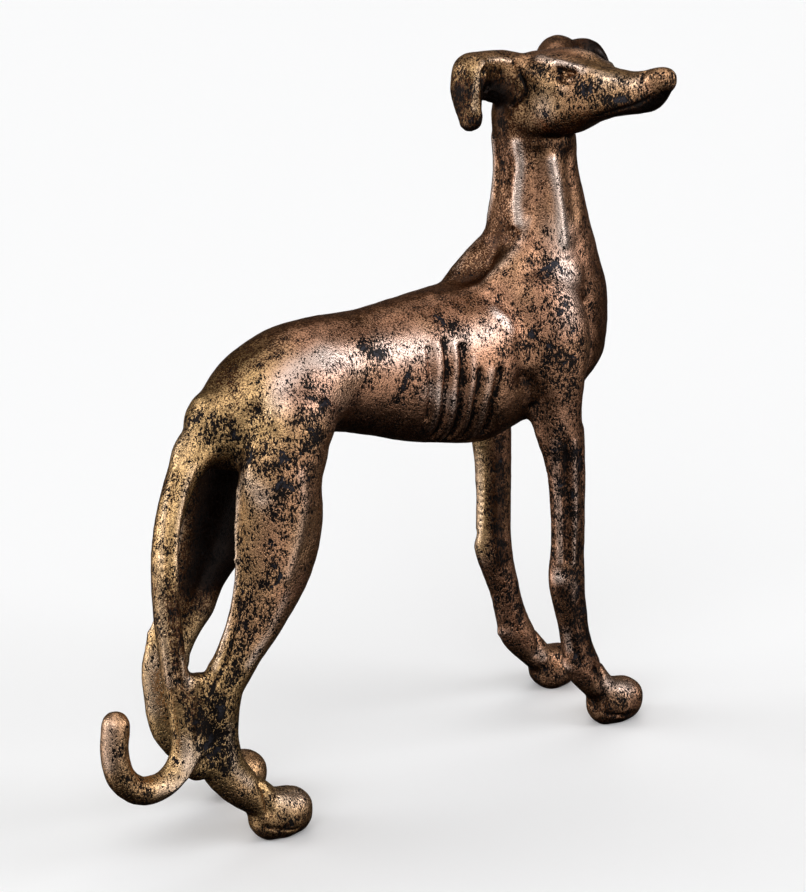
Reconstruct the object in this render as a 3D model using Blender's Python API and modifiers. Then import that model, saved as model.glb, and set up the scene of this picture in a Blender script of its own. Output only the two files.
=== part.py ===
"""Standing brass greyhound, one casting, head turned to its right.

+X is the way the body points, +Y its left, +Z up. Every form is a loft through a few
stations, which are counted from the floor in the middle of the four paws. The lofts
are fused into one skin, its corners are filled as a casting's are, the ribs and the
other carving are pressed into it, and the soles are cut flat. At the end the origin
is on the floor under the middle of the whole sculpture.
"""

import math

import bpy
import numpy as np

# Driving sizes, in metres and degrees
HEIGHT = 0.362                   # floor to the top of the left ear
HEAD_TURN = -84.0                # the head looks to the dog's right
HEAD_LIFT = 2.0
HEAD_TILT = -3.0                 # the right ear is the higher one
TRIANGLES = 9600
BRASS = (0.42, 0.25, 0.11, 1.0)

# The pose and the carving are shares of the height: one unit is a millimetre
# on a dog of 362 mm
UNIT = HEIGHT / 362.0
SKIN_CELL = 1.6                  # grain of the fused skin, in units
FILL_ROUNDS = 34                 # how far the corners between forms are filled

LEFT = (0.0, 1.0, 0.0)
AHEAD = (1.0, 0.0, 0.0)
UPWARD = (0.0, 0.0, 1.0)
SIDES = (-1, 1)                  # the dog's right, then its left

# Trunk, rump to chest: x, top, bottom, half width, height of the widest line
TRUNK = (
    (-132, 219, 184, 12.5, 202.5),
    (-120, 230.5, 180.5, 20, 208),
    (-105, 239, 184, 26, 213),
    (-88, 244, 188, 27.5, 216),
    (-68, 245.4, 189.2, 26.5, 218.5),
    (-45, 244.4, 183.2, 26.5, 216.5),
    (-22, 246, 175.5, 29, 214),
    (2, 248, 170, 32.5, 211),
    (24, 249.4, 166.2, 33.5, 210),
    (46, 250, 170.3, 30, 211),
    (68, 249, 175.5, 25, 212),
    (84, 242, 181, 18, 211),
)

# Breast and neck, upward: x, height, rear radius, front radius, half width
NECK = (
    (74, 188, 30, 24.5, 19),
    (73.5, 197, 36, 34.8, 22.5),
    (72, 209, 40, 40, 24.5),
    (71.5, 223, 41, 41, 25),
    (70.5, 237, 40, 40, 26),
    (69.5, 251, 34.5, 35.6, 25),
    (68.5, 268, 28, 31, 22.5),
    (68, 284, 24.6, 26, 20.8),
    (67.4, 303, 22.4, 21, 19.2),
    (67, 328, 25, 20, 19.6),
)

# The forms of one side give their distance out from the middle as y.
# Ridge from the neck to the top of the shoulder blade: x, y, z, front, back, side
NAPE = (
    (49, 9, 261, 9, 8, 10.5),
    (41, 11, 254, 10, 9, 9.5),
    (33, 12.5, 248, 9, 8.5, 8),
    (26, 13, 243, 8, 8, 7),
)

# Shoulder, blade top to elbow: x, y, z, front, back, side
SHOULDER = (
    (30, 13, 241, 9, 8, 8),
    (43, 17, 241, 14, 15, 12),
    (55, 22, 231, 20, 24, 15.5),
    (61, 24.5, 215, 18, 28, 16),
    (61, 26, 198, 12.4, 24, 15),
    (61.5, 27.2, 181, 10.4, 18, 11.5),
    (63.6, 28, 166, 11.4, 15.3, 8.8),
)

# Foreleg, elbow to paw: x, y, z, front, back, side
FORELEG = (
    (64, 28, 168, 11.6, 16, 8.5),
    (66.5, 28.4, 148, 10.4, 12.6, 7.2),
    (67.6, 28.6, 124, 9.8, 11, 6.6),
    (67.6, 28.6, 102, 9.8, 10.8, 6.8),
    (67.6, 28.6, 90, 10.4, 11.6, 7.4),
    (69, 28.4, 79, 10, 10, 7),
    (72.4, 28, 66, 8.8, 9, 6.6),
    (76.4, 27.8, 50, 8.6, 9.4, 6.8),
    (80.4, 27.6, 38, 9.6, 10.4, 7.8),
    (88, 27.6, 27, 9.2, 8.6, 8),
    (95, 27.6, 19, 9, 7.6, 8.6),
)

# Thigh and shank, croup to hock: x, y, z, front, back, side
THIGH = (
    (-98, 19, 210, 20, 20, 14.5),
    (-103, 21.5, 197, 21, 22.5, 16.2),
    (-108.5, 23.5, 182, 19.4, 23.5, 15.8),
    (-112.5, 25, 167, 23.4, 22, 14.5),
    (-116, 26, 150, 24.6, 20.5, 13),
    (-120, 26.5, 133, 20.4, 18.5, 11.8),
    (-126.5, 26.5, 116, 13.8, 16, 10.2),
    (-136, 26, 100, 9.6, 13.6, 9),
    (-144.4, 25, 87, 8.8, 12.4, 8),
)

# Hind foot, hock to paw: x, y, z, front, back, side
HIND_FOOT = (
    (-143, 25.5, 92, 8.6, 12.6, 8),
    (-148.6, 25, 78, 10.4, 12.2, 7.8),
    (-149.8, 24, 64, 11.4, 11.6, 7.4),
    (-148.6, 23.5, 50, 11.6, 11.6, 7.8),
    (-142.5, 23, 38, 10.6, 10.4, 8.2),
    (-133, 23, 27, 9.6, 9, 8.4),
    (-125, 23, 20, 9.4, 8, 8.8),
)

# Paw, heel to toe: x from its middle, top, underside, half width, widest line.
# The underside runs below the floor, which cuts the sole
PAW = (
    (-4.5, 22.4, -1.2, 9.6, 12),
    (1, 23.6, -1.8, 11.8, 11.5),
    (7, 22.2, -1.4, 11.4, 11),
)
FORE_PAW = (103, 27.6)           # x and distance out of the middle of the paw
HIND_PAW = (-116, 24)
FORE_STRIDE = 4.5                # the left paws are this much further forward
HIND_STRIDE = 7.6
FORE_SWING = 90.0                # and lead from this height down
HIND_SWING = 95.0

# Tail, root to tip: x, y, z, radius
TAIL = (
    (-126, -1, 208, 11),
    (-141, -2, 196, 8.8),
    (-155, -5, 181, 6.9),
    (-164.4, -9, 163.5, 6.3),
    (-169.2, -13, 145, 6.3),
    (-171, -17, 123, 6.4),
    (-170.4, -21, 97, 6.3),
    (-168.6, -23.4, 74, 6.3),
    (-169.6, -24.6, 57, 6.4),
    (-180, -25, 46.6, 6.5),
    (-193.4, -25, 46.6, 6.7),
    (-204, -25, 56.5, 6.8),
    (-207, -25, 71, 6.8),
    (-206, -25, 83, 6.6),
)

# Brass that joins the tail to the right hock: x, y, z, front, back, side
WEB = (
    (-161, -24.4, 95, 6, 7.5, 4.2),
    (-161, -24.6, 84, 8, 8, 4.8),
    (-160.5, -24.6, 66, 9, 9, 5),
    (-159, -24.4, 50, 10, 10, 5),
)

# The head has its own frame: forward, left and up from its middle on the neck
HEAD_CENTRE = (67.0, 0.0, 335.0)

# Skull and muzzle, nape to nose: forward, top, bottom, half width, widest line
HEAD = (
    (-14, 17, -20, 15, 1),
    (-5, 22, -21, 18.6, 3),
    (5, 23.4, -20, 19.2, 4),
    (16, 23.8, -17.5, 18.8, 5),
    (27, 22.8, -14.5, 17, 5),
    (37, 20.8, -9.5, 14.6, 6),
    (48, 19, -5.6, 12, 7),
    (59, 18, -3.2, 10.4, 8),
    (68, 19, -1.4, 9.6, 9),
    (75, 20.8, 1, 8.8, 11.5),
    (79.5, 21.6, 5.5, 7.2, 15),
    (82, 21.2, 9.5, 5, 16),
)

# Ear, skull to tip of the flap: forward, outward, up, outer, inner, half width
RIGHT_EAR = (
    (0, 10, 14, 8, 16, 8),
    (-4, 23, 17, 6.4, 13, 7.4),
    (-5.5, 34, 17.8, 5.6, 8, 8.4),
    (-5, 45, 16.2, 5.8, 8.2, 9.8),
    (-4, 47.8, 8.5, 4, 7.4, 9.8),
    (-2, 48.2, 0, 3.6, 6, 8.6),
    (0, 48.4, -7, 3.2, 4.6, 6.6),
)
LEFT_EAR = (
    (0, 10, 14.5, 7, 8, 9),
    (-7, 19, 20.2, 6.2, 8, 9),
    (-11, 28, 22.8, 5.8, 7.4, 8.4),
    (-10, 35.5, 19.5, 5, 6.8, 9),
    (-7, 43, 18.4, 5.8, 6.8, 9.6),
    (-3, 47.5, 10, 4.6, 6, 9.2),
    (1.5, 48, 0, 3.4, 4.6, 7),
)

# Hollows between the ribs, rear to front
RIB_HOLLOWS = 5
RIB_PITCH = 10.0
RIB_REAR = -27.0                 # x of the rearmost hollow
RIB_TOP = 229.0                  # upper end of the rearmost hollow
RIB_BOTTOM = 192.0               # its lower end
RIB_TOP_FALL = 5.5               # how much lower each next one starts
RIB_BOTTOM_FALL = 3.0            # and ends
RIB_WIDTH = 2.6
RIB_DEPTH = 2.2

# Carving of one side, the same on both: width, depth, then x, y, z along it.
# A negative depth is a ridge
BODY_CARVING = {
    "withers": (6, 3.5, ((23, 0, 252), (33, 0, 257), (41, 0, 265))),
    "breast groove": (4.2, 4, ((80, 25, 246), (80, 27, 231), (82, 26.5, 215), (82, 26, 200), (80, 25, 190))),
    "chest end": (5, -1.2, ((21, 25, 238), (23, 29, 228), (23, 31.5, 216))),
    "shoulder edge": (4.2, 2.6, ((29, 25, 240), (32, 31, 229), (34, 33, 217), (36, 34, 205))),
    "elbow pocket": (6, 4.5, ((36, 32, 197), (41, 33, 194), (46, 34, 190))),
    "haunch edge": (4.5, 2.2, ((-119, 21, 219), (-114, 19.5, 228), (-106, 19, 234), (-94, 19.5, 237))),
    "haunch": (8, -1.8, ((-113, 27, 212), (-107, 25, 222), (-98, 25, 227), (-86, 26, 227))),
    "haunch valley": (5, 2.4, ((-121, 25, 211), (-121, 30, 203), (-118, 35, 196))),
    "hock cord": (2.6, 1.3, ((-132, 33, 128), (-141, 32, 110), (-151, 30, 97), (-156, 30, 86))),
    "neck cord": (3.4, -1.6, ((46, 8, 312), (47, 11, 298), (46, 12, 286), (45, 13, 272))),
    "neck hollow": (4.4, 1.8, ((55, 17, 308), (57, 19, 294), (58, 21, 280), (58, 23, 266))),
    "throat cord": (4, -1.4, ((66, 19, 306), (69, 20, 292), (72, 21, 278), (72, 23, 262))),
}

# Carving of the head, both cheeks: width, depth, then forward, outward, up
HEAD_CARVING = {
    "brow": (3.2, -1.6, ((10, 11, 21.4), (18, 11.5, 21.6), (25, 12, 20.6), (32, 11.5, 18.8), (40, 9.5, 17))),
    "crown": (5, 1.6, ((12, 2, 23.8), (24, 2, 23.4), (35, 2, 21.2))),
    "eye": (2.6, -1, ((31, 13, 16.6), (31.5, 13, 16.2))),
    "eye hollow": (3.4, 2.2, ((35, 13.6, 13.6), (40, 13.2, 11.6))),
    "jaw": (2.6, 1.8, ((-2, 20, -13), (5, 20, -14.5), (11, 16, -17.2), (18, 8, -17.6), (20, 0, -17.6))),
    "ear root": (2.4, 1.4, ((5, 20, 19), (8, 18.6, 14), (10.5, 18.8, 8), (8, 19, 3))),
    "ear face": (2.4, 1.8, ((3, 46, 19), (4.6, 46, 11), (5, 46.5, 3), (4, 47, -5))),
    "nose groove": (1.6, 1.2, ((72, 5, 18.6), (75, 7.4, 17), (77, 8, 15.4))),
}


def spaced_rows(stations, rings):
    """Cubic curve through the stations, paced by the distance between their centres."""
    stations = np.asarray(stations, float)
    gaps = np.linalg.norm(np.diff(stations[:, :3], axis=0), axis=1)
    along = np.concatenate([[0.0], np.cumsum(gaps)])
    slope = np.gradient(stations, along, axis=0)
    at = np.linspace(0.0, along[-1], rings)
    cell = np.clip(np.searchsorted(along, at, side="right") - 1, 0, len(gaps) - 1)
    span = gaps[cell][:, None]
    t = (at - along[cell])[:, None] / span
    start = (2 * t**3 - 3 * t**2 + 1) * stations[cell]
    leave = (t**3 - 2 * t**2 + t) * span * slope[cell]
    end = (3 * t**2 - 2 * t**3) * stations[cell + 1]
    arrive = (t**3 - t**2) * span * slope[cell + 1]
    return start + leave + end + arrive


def rounded(wave, power):
    """Sine or cosine bent so that the section grows squarer as the power rises."""
    return np.sign(wave) * np.abs(wave) ** (2.0 / power)


def loft(stations, side=LEFT, facing=None, power=2.0, rings=48, around=36, domes=(1.0, 1.0)):
    """Closed skin over stations of x, y, z, outer radius, inner radius, side radius.

    The side radius lies along side. The outer one lies along path x side, which is
    the front of a form that runs down and the top of one that runs forward. The
    sections square up to the path, or all to facing. Each end closes with a dome,
    as high as the mean radius there times its value in domes.
    """
    rows = spaced_rows(stations, rings)
    centre = rows[:, :3]
    path = np.gradient(centre, axis=0) if facing is None else np.tile(np.array(facing), (rings, 1))
    path = path / np.linalg.norm(path, axis=1)[:, None]
    side = np.array(side, float) - (path @ np.array(side, float))[:, None] * path
    side /= np.linalg.norm(side, axis=1)[:, None]
    outer = np.cross(path, side)
    bend = np.radians((18.0, 36.0, 54.0, 72.0, 84.0))
    pick = np.concatenate([np.zeros(len(bend), int), np.arange(rings), np.full(len(bend), rings - 1)])
    shrink = np.concatenate([np.cos(bend[::-1]), np.ones(rings), np.cos(bend)])
    push = np.concatenate([-np.sin(bend[::-1]) * domes[0], np.zeros(rings), np.sin(bend) * domes[1]])
    rise_by = rows[pick, 3:6].mean(axis=1)
    angle = np.linspace(0.0, 2.0 * math.pi, around, endpoint=False)
    across, rise = rounded(np.cos(angle), power), rounded(np.sin(angle), power)
    radius = np.where(rise > 0, rows[pick, 3][:, None], rows[pick, 4][:, None])
    skin = (
        (centre[pick] + path[pick] * (push * rise_by)[:, None])[:, None]
        + side[pick][:, None] * (shrink[:, None] * rows[pick, 5][:, None] * across)[..., None]
        + outer[pick][:, None] * (shrink[:, None] * radius * rise)[..., None]
    )
    first = centre[0] - path[0] * rise_by[0] * domes[0]
    last = centre[-1] + path[-1] * rise_by[-1] * domes[1]
    return close_skin(skin, first, last)


def close_skin(skin, first, last):
    """Points and faces of a grid that wraps round and runs to a tip at each end."""
    count, around = skin.shape[:2]
    points = np.concatenate([skin.reshape(-1, 3), [first, last]])
    here = np.arange(around)
    beside = np.roll(here, -1)
    row = np.arange(count - 1)[:, None] * around
    quads = np.stack([row + here, row + beside, row + around + beside, row + around + here], axis=-1)
    end = (count - 1) * around
    tip = count * around
    faces = quads.reshape(-1, 4).tolist()
    faces += [(tip, b, a) for a, b in zip(here.tolist(), beside.tolist())]
    faces += [(tip + 1, end + a, end + b) for a, b in zip(here.tolist(), beside.tolist())]
    return points, faces


def profile_loft(profile, **options):
    """Level form from rows of x, top, bottom, half width, height of the widest line."""
    rows = [(x, 0, mid, top - mid, mid - low, wide) for x, top, low, wide, mid in profile]
    return loft(rows, facing=AHEAD, **options)


def on_side(stations, side):
    """Stations whose y, the distance out, is turned to one side of the dog."""
    return [(row[0], side * row[1], *row[2:]) for row in stations]


def led(stations, side, stride, swing):
    """Leg stations of one side, where the left leg leads from the swing height down."""
    rows = on_side(stations, side)
    if side < 0:
        return rows
    return [(row[0] + stride * max(0.0, 1.0 - row[2] / swing) ** 0.7, *row[1:]) for row in rows]


def head_axes():
    """Forward, left and up of the turned head, as rows."""
    turn, lift, tilt = (math.radians(a) for a in (HEAD_TURN, HEAD_LIFT, HEAD_TILT))
    flat = np.array([math.cos(turn), math.sin(turn), 0.0])
    level = np.array([-math.sin(turn), math.cos(turn), 0.0])
    forward = flat * math.cos(lift) + np.array(UPWARD) * math.sin(lift)
    left = level * math.cos(tilt) + np.cross(forward, level) * math.sin(tilt)
    return np.stack([forward, left, np.cross(forward, left)])


def on_head(points):
    """Points of the head's own frame, placed on the dog."""
    return np.asarray(points, float) @ head_axes() + np.array(HEAD_CENTRE)


def trunk_form():
    return profile_loft(TRUNK, rings=90, around=64, power=2.1)


def neck_form():
    rows = [(x, 0, z, rear, front, wide) for x, z, rear, front, wide in NECK]
    return loft(rows, facing=UPWARD, rings=60, around=56, domes=(0.25, 1.0))


def paw_form(middle, out):
    rows = [(middle + x, out, mid, top - mid, mid - low, wide) for x, top, low, wide, mid in PAW]
    return loft(rows, facing=AHEAD, rings=16, power=2.3)


def foreleg_forms(side):
    lead = FORE_STRIDE if side > 0 else 0.0
    return [
        loft(on_side(NAPE, side), rings=24),
        loft(on_side(SHOULDER, side)),
        loft(led(FORELEG, side, FORE_STRIDE, FORE_SWING), rings=70),
        paw_form(FORE_PAW[0] + lead, side * FORE_PAW[1]),
    ]


def hind_leg_forms(side):
    lead = HIND_STRIDE if side > 0 else 0.0
    return [
        loft(on_side(THIGH, side), rings=60, around=44, domes=(0.65, 1.0)),
        loft(led(HIND_FOOT, side, HIND_STRIDE, HIND_SWING)),
        paw_form(HIND_PAW[0] + lead, side * HIND_PAW[1]),
    ]


def tail_forms():
    rows = [(x, y, z, radius, radius, radius) for x, y, z, radius in TAIL]
    return [loft(rows, rings=110, around=24), loft(WEB, around=24, domes=(0.2, 1.0))]


def head_forms():
    forms = [profile_loft(HEAD, rings=60, around=44, power=2.2, domes=(0.5, 0.7))]
    for side, ear in zip(SIDES, (RIGHT_EAR, LEFT_EAR)):
        forms.append(loft(on_side(ear, side), side=(-side, 0, 0), around=28))
    return [(on_head(points), faces) for points, faces in forms]


def joined_mesh(forms):
    """One mesh of all the forms, in metres, each still a body of its own."""
    points, faces, start = [], [], 0
    for form_points, form_faces in forms:
        points.append(form_points * UNIT)
        faces += [tuple(index + start for index in face) for face in form_faces]
        start += len(form_points)
    mesh = bpy.data.meshes.new("forms")
    mesh.from_pydata(np.concatenate(points).tolist(), [], faces)
    return mesh


def fused(mesh):
    """The union of the mesh's bodies, as an even skin of small quads."""
    draft = bpy.data.objects.new("draft", mesh)
    bpy.context.scene.collection.objects.link(draft)
    remesh = draft.modifiers.new("Fuse", "REMESH")
    remesh.mode = "VOXEL"
    remesh.voxel_size = SKIN_CELL * UNIT
    depsgraph = bpy.context.evaluated_depsgraph_get()
    skin = bpy.data.meshes.new_from_object(draft.evaluated_get(depsgraph))
    bpy.data.objects.remove(draft, do_unlink=True)
    skin.name = "greyhound"
    return skin


def read_points(mesh):
    points = np.empty(len(mesh.vertices) * 3, np.float32)
    mesh.vertices.foreach_get("co", points)
    return points.reshape(-1, 3).astype(float)


def read_normals(mesh):
    normals = np.empty(len(mesh.vertices) * 3, np.float32)
    mesh.vertex_normals.foreach_get("vector", normals)
    return normals.reshape(-1, 3).astype(float)


def write_points(mesh, points):
    mesh.vertices.foreach_set("co", points.astype(np.float32).ravel())
    mesh.update()


def fill_corners(mesh, rounds):
    """Let hollow corners flow outward, so that forms join as they do in a casting."""
    points = read_points(mesh)
    ends = np.empty(len(mesh.edges) * 2, np.int32)
    mesh.edges.foreach_get("vertices", ends)
    ends = ends.reshape(-1, 2)
    near, far = np.concatenate([ends, ends[:, ::-1]]).T
    count = len(points)
    valence = np.bincount(near, minlength=count)[:, None]
    for _ in range(rounds):
        normals = read_normals(mesh)
        around = np.stack([np.bincount(near, points[far, k], count) for k in range(3)], 1)
        hollow = np.maximum(((around / valence - points) * normals).sum(1), 0.0)
        points += 0.5 * hollow[:, None] * normals
        write_points(mesh, points)


def distance_to(points, path):
    """Distance from each point to a polyline."""
    path = np.asarray(path, float)
    nearest = np.full(len(points), np.inf)
    for start, end in zip(path[:-1], path[1:]):
        run = end - start
        t = np.clip((points - start) @ run / (run @ run), 0.0, 1.0)
        nearest = np.minimum(nearest, np.linalg.norm(points - start - t[:, None] * run, axis=1))
    return nearest


def dent(points, width, depth, path):
    """How far each point sinks under one stroke of carving."""
    return depth * np.exp(-((distance_to(points, path) / width) ** 2))


def rib_depth(points):
    """Hollows between the ribs, drawn on the side view and fading round the belly."""
    side_view = points[:, (0, 2)]
    depth = np.zeros(len(points))
    for number in range(RIB_HOLLOWS):
        x = RIB_REAR + number * RIB_PITCH
        top = RIB_TOP - number * RIB_TOP_FALL
        bottom = RIB_BOTTOM - number * RIB_BOTTOM_FALL
        line = ((x, top), (x + 1.0, 0.5 * (top + bottom)), (x - 0.5, bottom))
        depth += dent(side_view, RIB_WIDTH, RIB_DEPTH, line)
    return depth * np.clip((np.abs(points[:, 1]) - 8.0) / 8.0, 0.0, 1.0)


def carve(mesh):
    """Press the ribs, the muscle edges and the face into the skin."""
    points, normals = read_points(mesh) / UNIT, read_normals(mesh)
    depth = rib_depth(points)
    for side in SIDES:
        for width, deep, path in BODY_CARVING.values():
            depth += dent(points, width, deep, on_side(path, side))
        for width, deep, path in HEAD_CARVING.values():
            depth += dent(points, width, deep, on_head(on_side(path, side)))
    write_points(mesh, (points - depth[:, None] * normals) * UNIT)


def centre(mesh):
    """Put the origin on the floor under the middle of the sculpture."""
    points = read_points(mesh)
    middle = 0.5 * (points.min(axis=0) + points.max(axis=0))
    write_points(mesh, points - (middle[0], middle[1], 0.0))


def floor_block(cutters):
    """Cutter under the floor, which leaves the soles flat."""
    bpy.ops.mesh.primitive_cube_add(size=1.0, location=(0.0, 0.0, -0.05 * HEIGHT))
    block = bpy.context.object
    block.name = "floor"
    block.scale = (2.0 * HEIGHT, HEIGHT, 0.1 * HEIGHT)
    block.display_type = "WIRE"
    block.hide_render = True
    for collection in list(block.users_collection):
        collection.objects.unlink(block)
    cutters.objects.link(block)
    return block


def brass():
    material = bpy.data.materials.new("antique brass")
    material.use_nodes = True
    shader = material.node_tree.nodes["Principled BSDF"]
    shader.inputs["Base Color"].default_value = BRASS
    shader.inputs["Metallic"].default_value = 1.0
    shader.inputs["Roughness"].default_value = 0.36
    return material


def greyhound(collection, cutters):
    forms = [trunk_form(), neck_form(), *tail_forms(), *head_forms()]
    for side in SIDES:
        forms += foreleg_forms(side) + hind_leg_forms(side)
    skin = fused(joined_mesh(forms))
    fill_corners(skin, FILL_ROUNDS)
    carve(skin)
    centre(skin)
    skin.materials.clear()
    skin.materials.append(brass())
    dog = bpy.data.objects.new("greyhound", skin)
    collection.objects.link(dog)
    thin = dog.modifiers.new("Thin out", "DECIMATE")
    thin.use_collapse_triangulate = True
    thin.ratio = TRIANGLES / (2.0 * len(skin.polygons))
    soles = dog.modifiers.new("Soles", "BOOLEAN")
    soles.operation = "DIFFERENCE"
    soles.object = floor_block(cutters)
    return dog


def main():
    for item in list(bpy.data.objects):
        bpy.data.objects.remove(item, do_unlink=True)
    parts = bpy.data.collections.new("greyhound sculpture")
    cutters = bpy.data.collections.new("cutters")
    for collection in (parts, cutters):
        bpy.context.scene.collection.children.link(collection)
    greyhound(parts, cutters)


main()
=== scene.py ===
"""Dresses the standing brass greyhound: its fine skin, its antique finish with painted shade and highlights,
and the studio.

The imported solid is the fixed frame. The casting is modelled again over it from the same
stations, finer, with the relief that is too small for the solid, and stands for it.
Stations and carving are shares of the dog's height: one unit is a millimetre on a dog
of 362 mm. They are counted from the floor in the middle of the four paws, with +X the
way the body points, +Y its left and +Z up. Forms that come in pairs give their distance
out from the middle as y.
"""

from __future__ import annotations

import logging
import math
from collections.abc import Iterable, Sequence
from dataclasses import dataclass, field, replace
from enum import Enum

import bpy
import numpy as np
from mathutils import Matrix, Vector

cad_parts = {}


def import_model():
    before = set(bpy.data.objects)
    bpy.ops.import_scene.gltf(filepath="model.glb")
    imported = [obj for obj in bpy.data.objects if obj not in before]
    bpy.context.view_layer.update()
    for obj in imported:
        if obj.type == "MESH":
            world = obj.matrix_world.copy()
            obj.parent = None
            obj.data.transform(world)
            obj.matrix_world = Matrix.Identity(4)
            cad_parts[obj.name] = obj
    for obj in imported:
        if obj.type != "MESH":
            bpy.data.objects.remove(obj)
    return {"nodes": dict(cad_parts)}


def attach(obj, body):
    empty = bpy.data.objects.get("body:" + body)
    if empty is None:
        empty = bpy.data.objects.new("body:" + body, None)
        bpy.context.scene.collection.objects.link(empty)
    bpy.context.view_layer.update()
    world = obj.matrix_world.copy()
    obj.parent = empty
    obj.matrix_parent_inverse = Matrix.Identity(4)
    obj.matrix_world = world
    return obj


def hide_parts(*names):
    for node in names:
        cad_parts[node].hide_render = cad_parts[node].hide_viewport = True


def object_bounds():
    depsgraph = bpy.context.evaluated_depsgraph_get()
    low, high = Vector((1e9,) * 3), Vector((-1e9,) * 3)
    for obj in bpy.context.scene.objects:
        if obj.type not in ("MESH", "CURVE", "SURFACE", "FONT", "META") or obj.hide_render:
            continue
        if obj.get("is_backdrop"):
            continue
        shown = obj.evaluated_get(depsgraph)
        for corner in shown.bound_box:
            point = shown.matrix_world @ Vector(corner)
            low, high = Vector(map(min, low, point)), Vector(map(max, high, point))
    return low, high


LOG = logging.getLogger("greyhound")

Array = np.ndarray
Row = tuple[float, ...]
Rows = tuple[Row, ...]
Mark = tuple[float | Row, ...]
Marks = tuple[Mark, ...]
Span = tuple[float, float]
Colour = tuple[float, float, float]

LEFTWARD: Row = (0.0, 1.0, 0.0)
AHEAD: Row = (1.0, 0.0, 0.0)
UPWARD: Row = (0.0, 0.0, 1.0)
NODE = "greyhound"
BODY = "root"

# Degrees round a form's domed end at which its rings stand.
DOME_ANGLES: Row = (15.0, 30.0, 45.0, 60.0, 74.0, 84.0)
# Widths from a stroke's line at which nothing is left of it.
FADED = 2.6
# The cords down each side of the neck, one by the nape and one further forward.
NAPE_CORD: Rows = ((46, 9, 316), (47, 10.5, 306), (46, 10, 295), (45, 10, 286), (45, 12, 277))
SIDE_CORD: Rows = ((61, 18.5, 307), (63, 19.5, 297), (64, 20, 290), (65, 21, 280), (66, 23, 266))
# A Mix node's factor and colours, and its mixed colour, by number.
FACTOR, FIRST_COLOUR, SECOND_COLOUR, MIXED = 0, 6, 7, 2


class Side(Enum):
    """A side of the dog or of its head, as the sign of y."""

    RIGHT = -1
    LEFT = 1


def on_side(rows: Iterable[Row], side: Side) -> Rows:
    """Turn rows whose second value is a distance out to one side.

    Args:
        rows: Rows that start with x, distance out and height.
        side: The side they go to.

    Returns:
        The same rows with a signed y.
    """
    return tuple((row[0], side.value * row[1], *row[2:]) for row in rows)


def ramp(values: Array, low: float, high: float) -> Array:
    """Go evenly from 0 at low to 1 at high, either of which may be the larger."""
    return np.clip((values - low) / (high - low), 0.0, 1.0)


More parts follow.
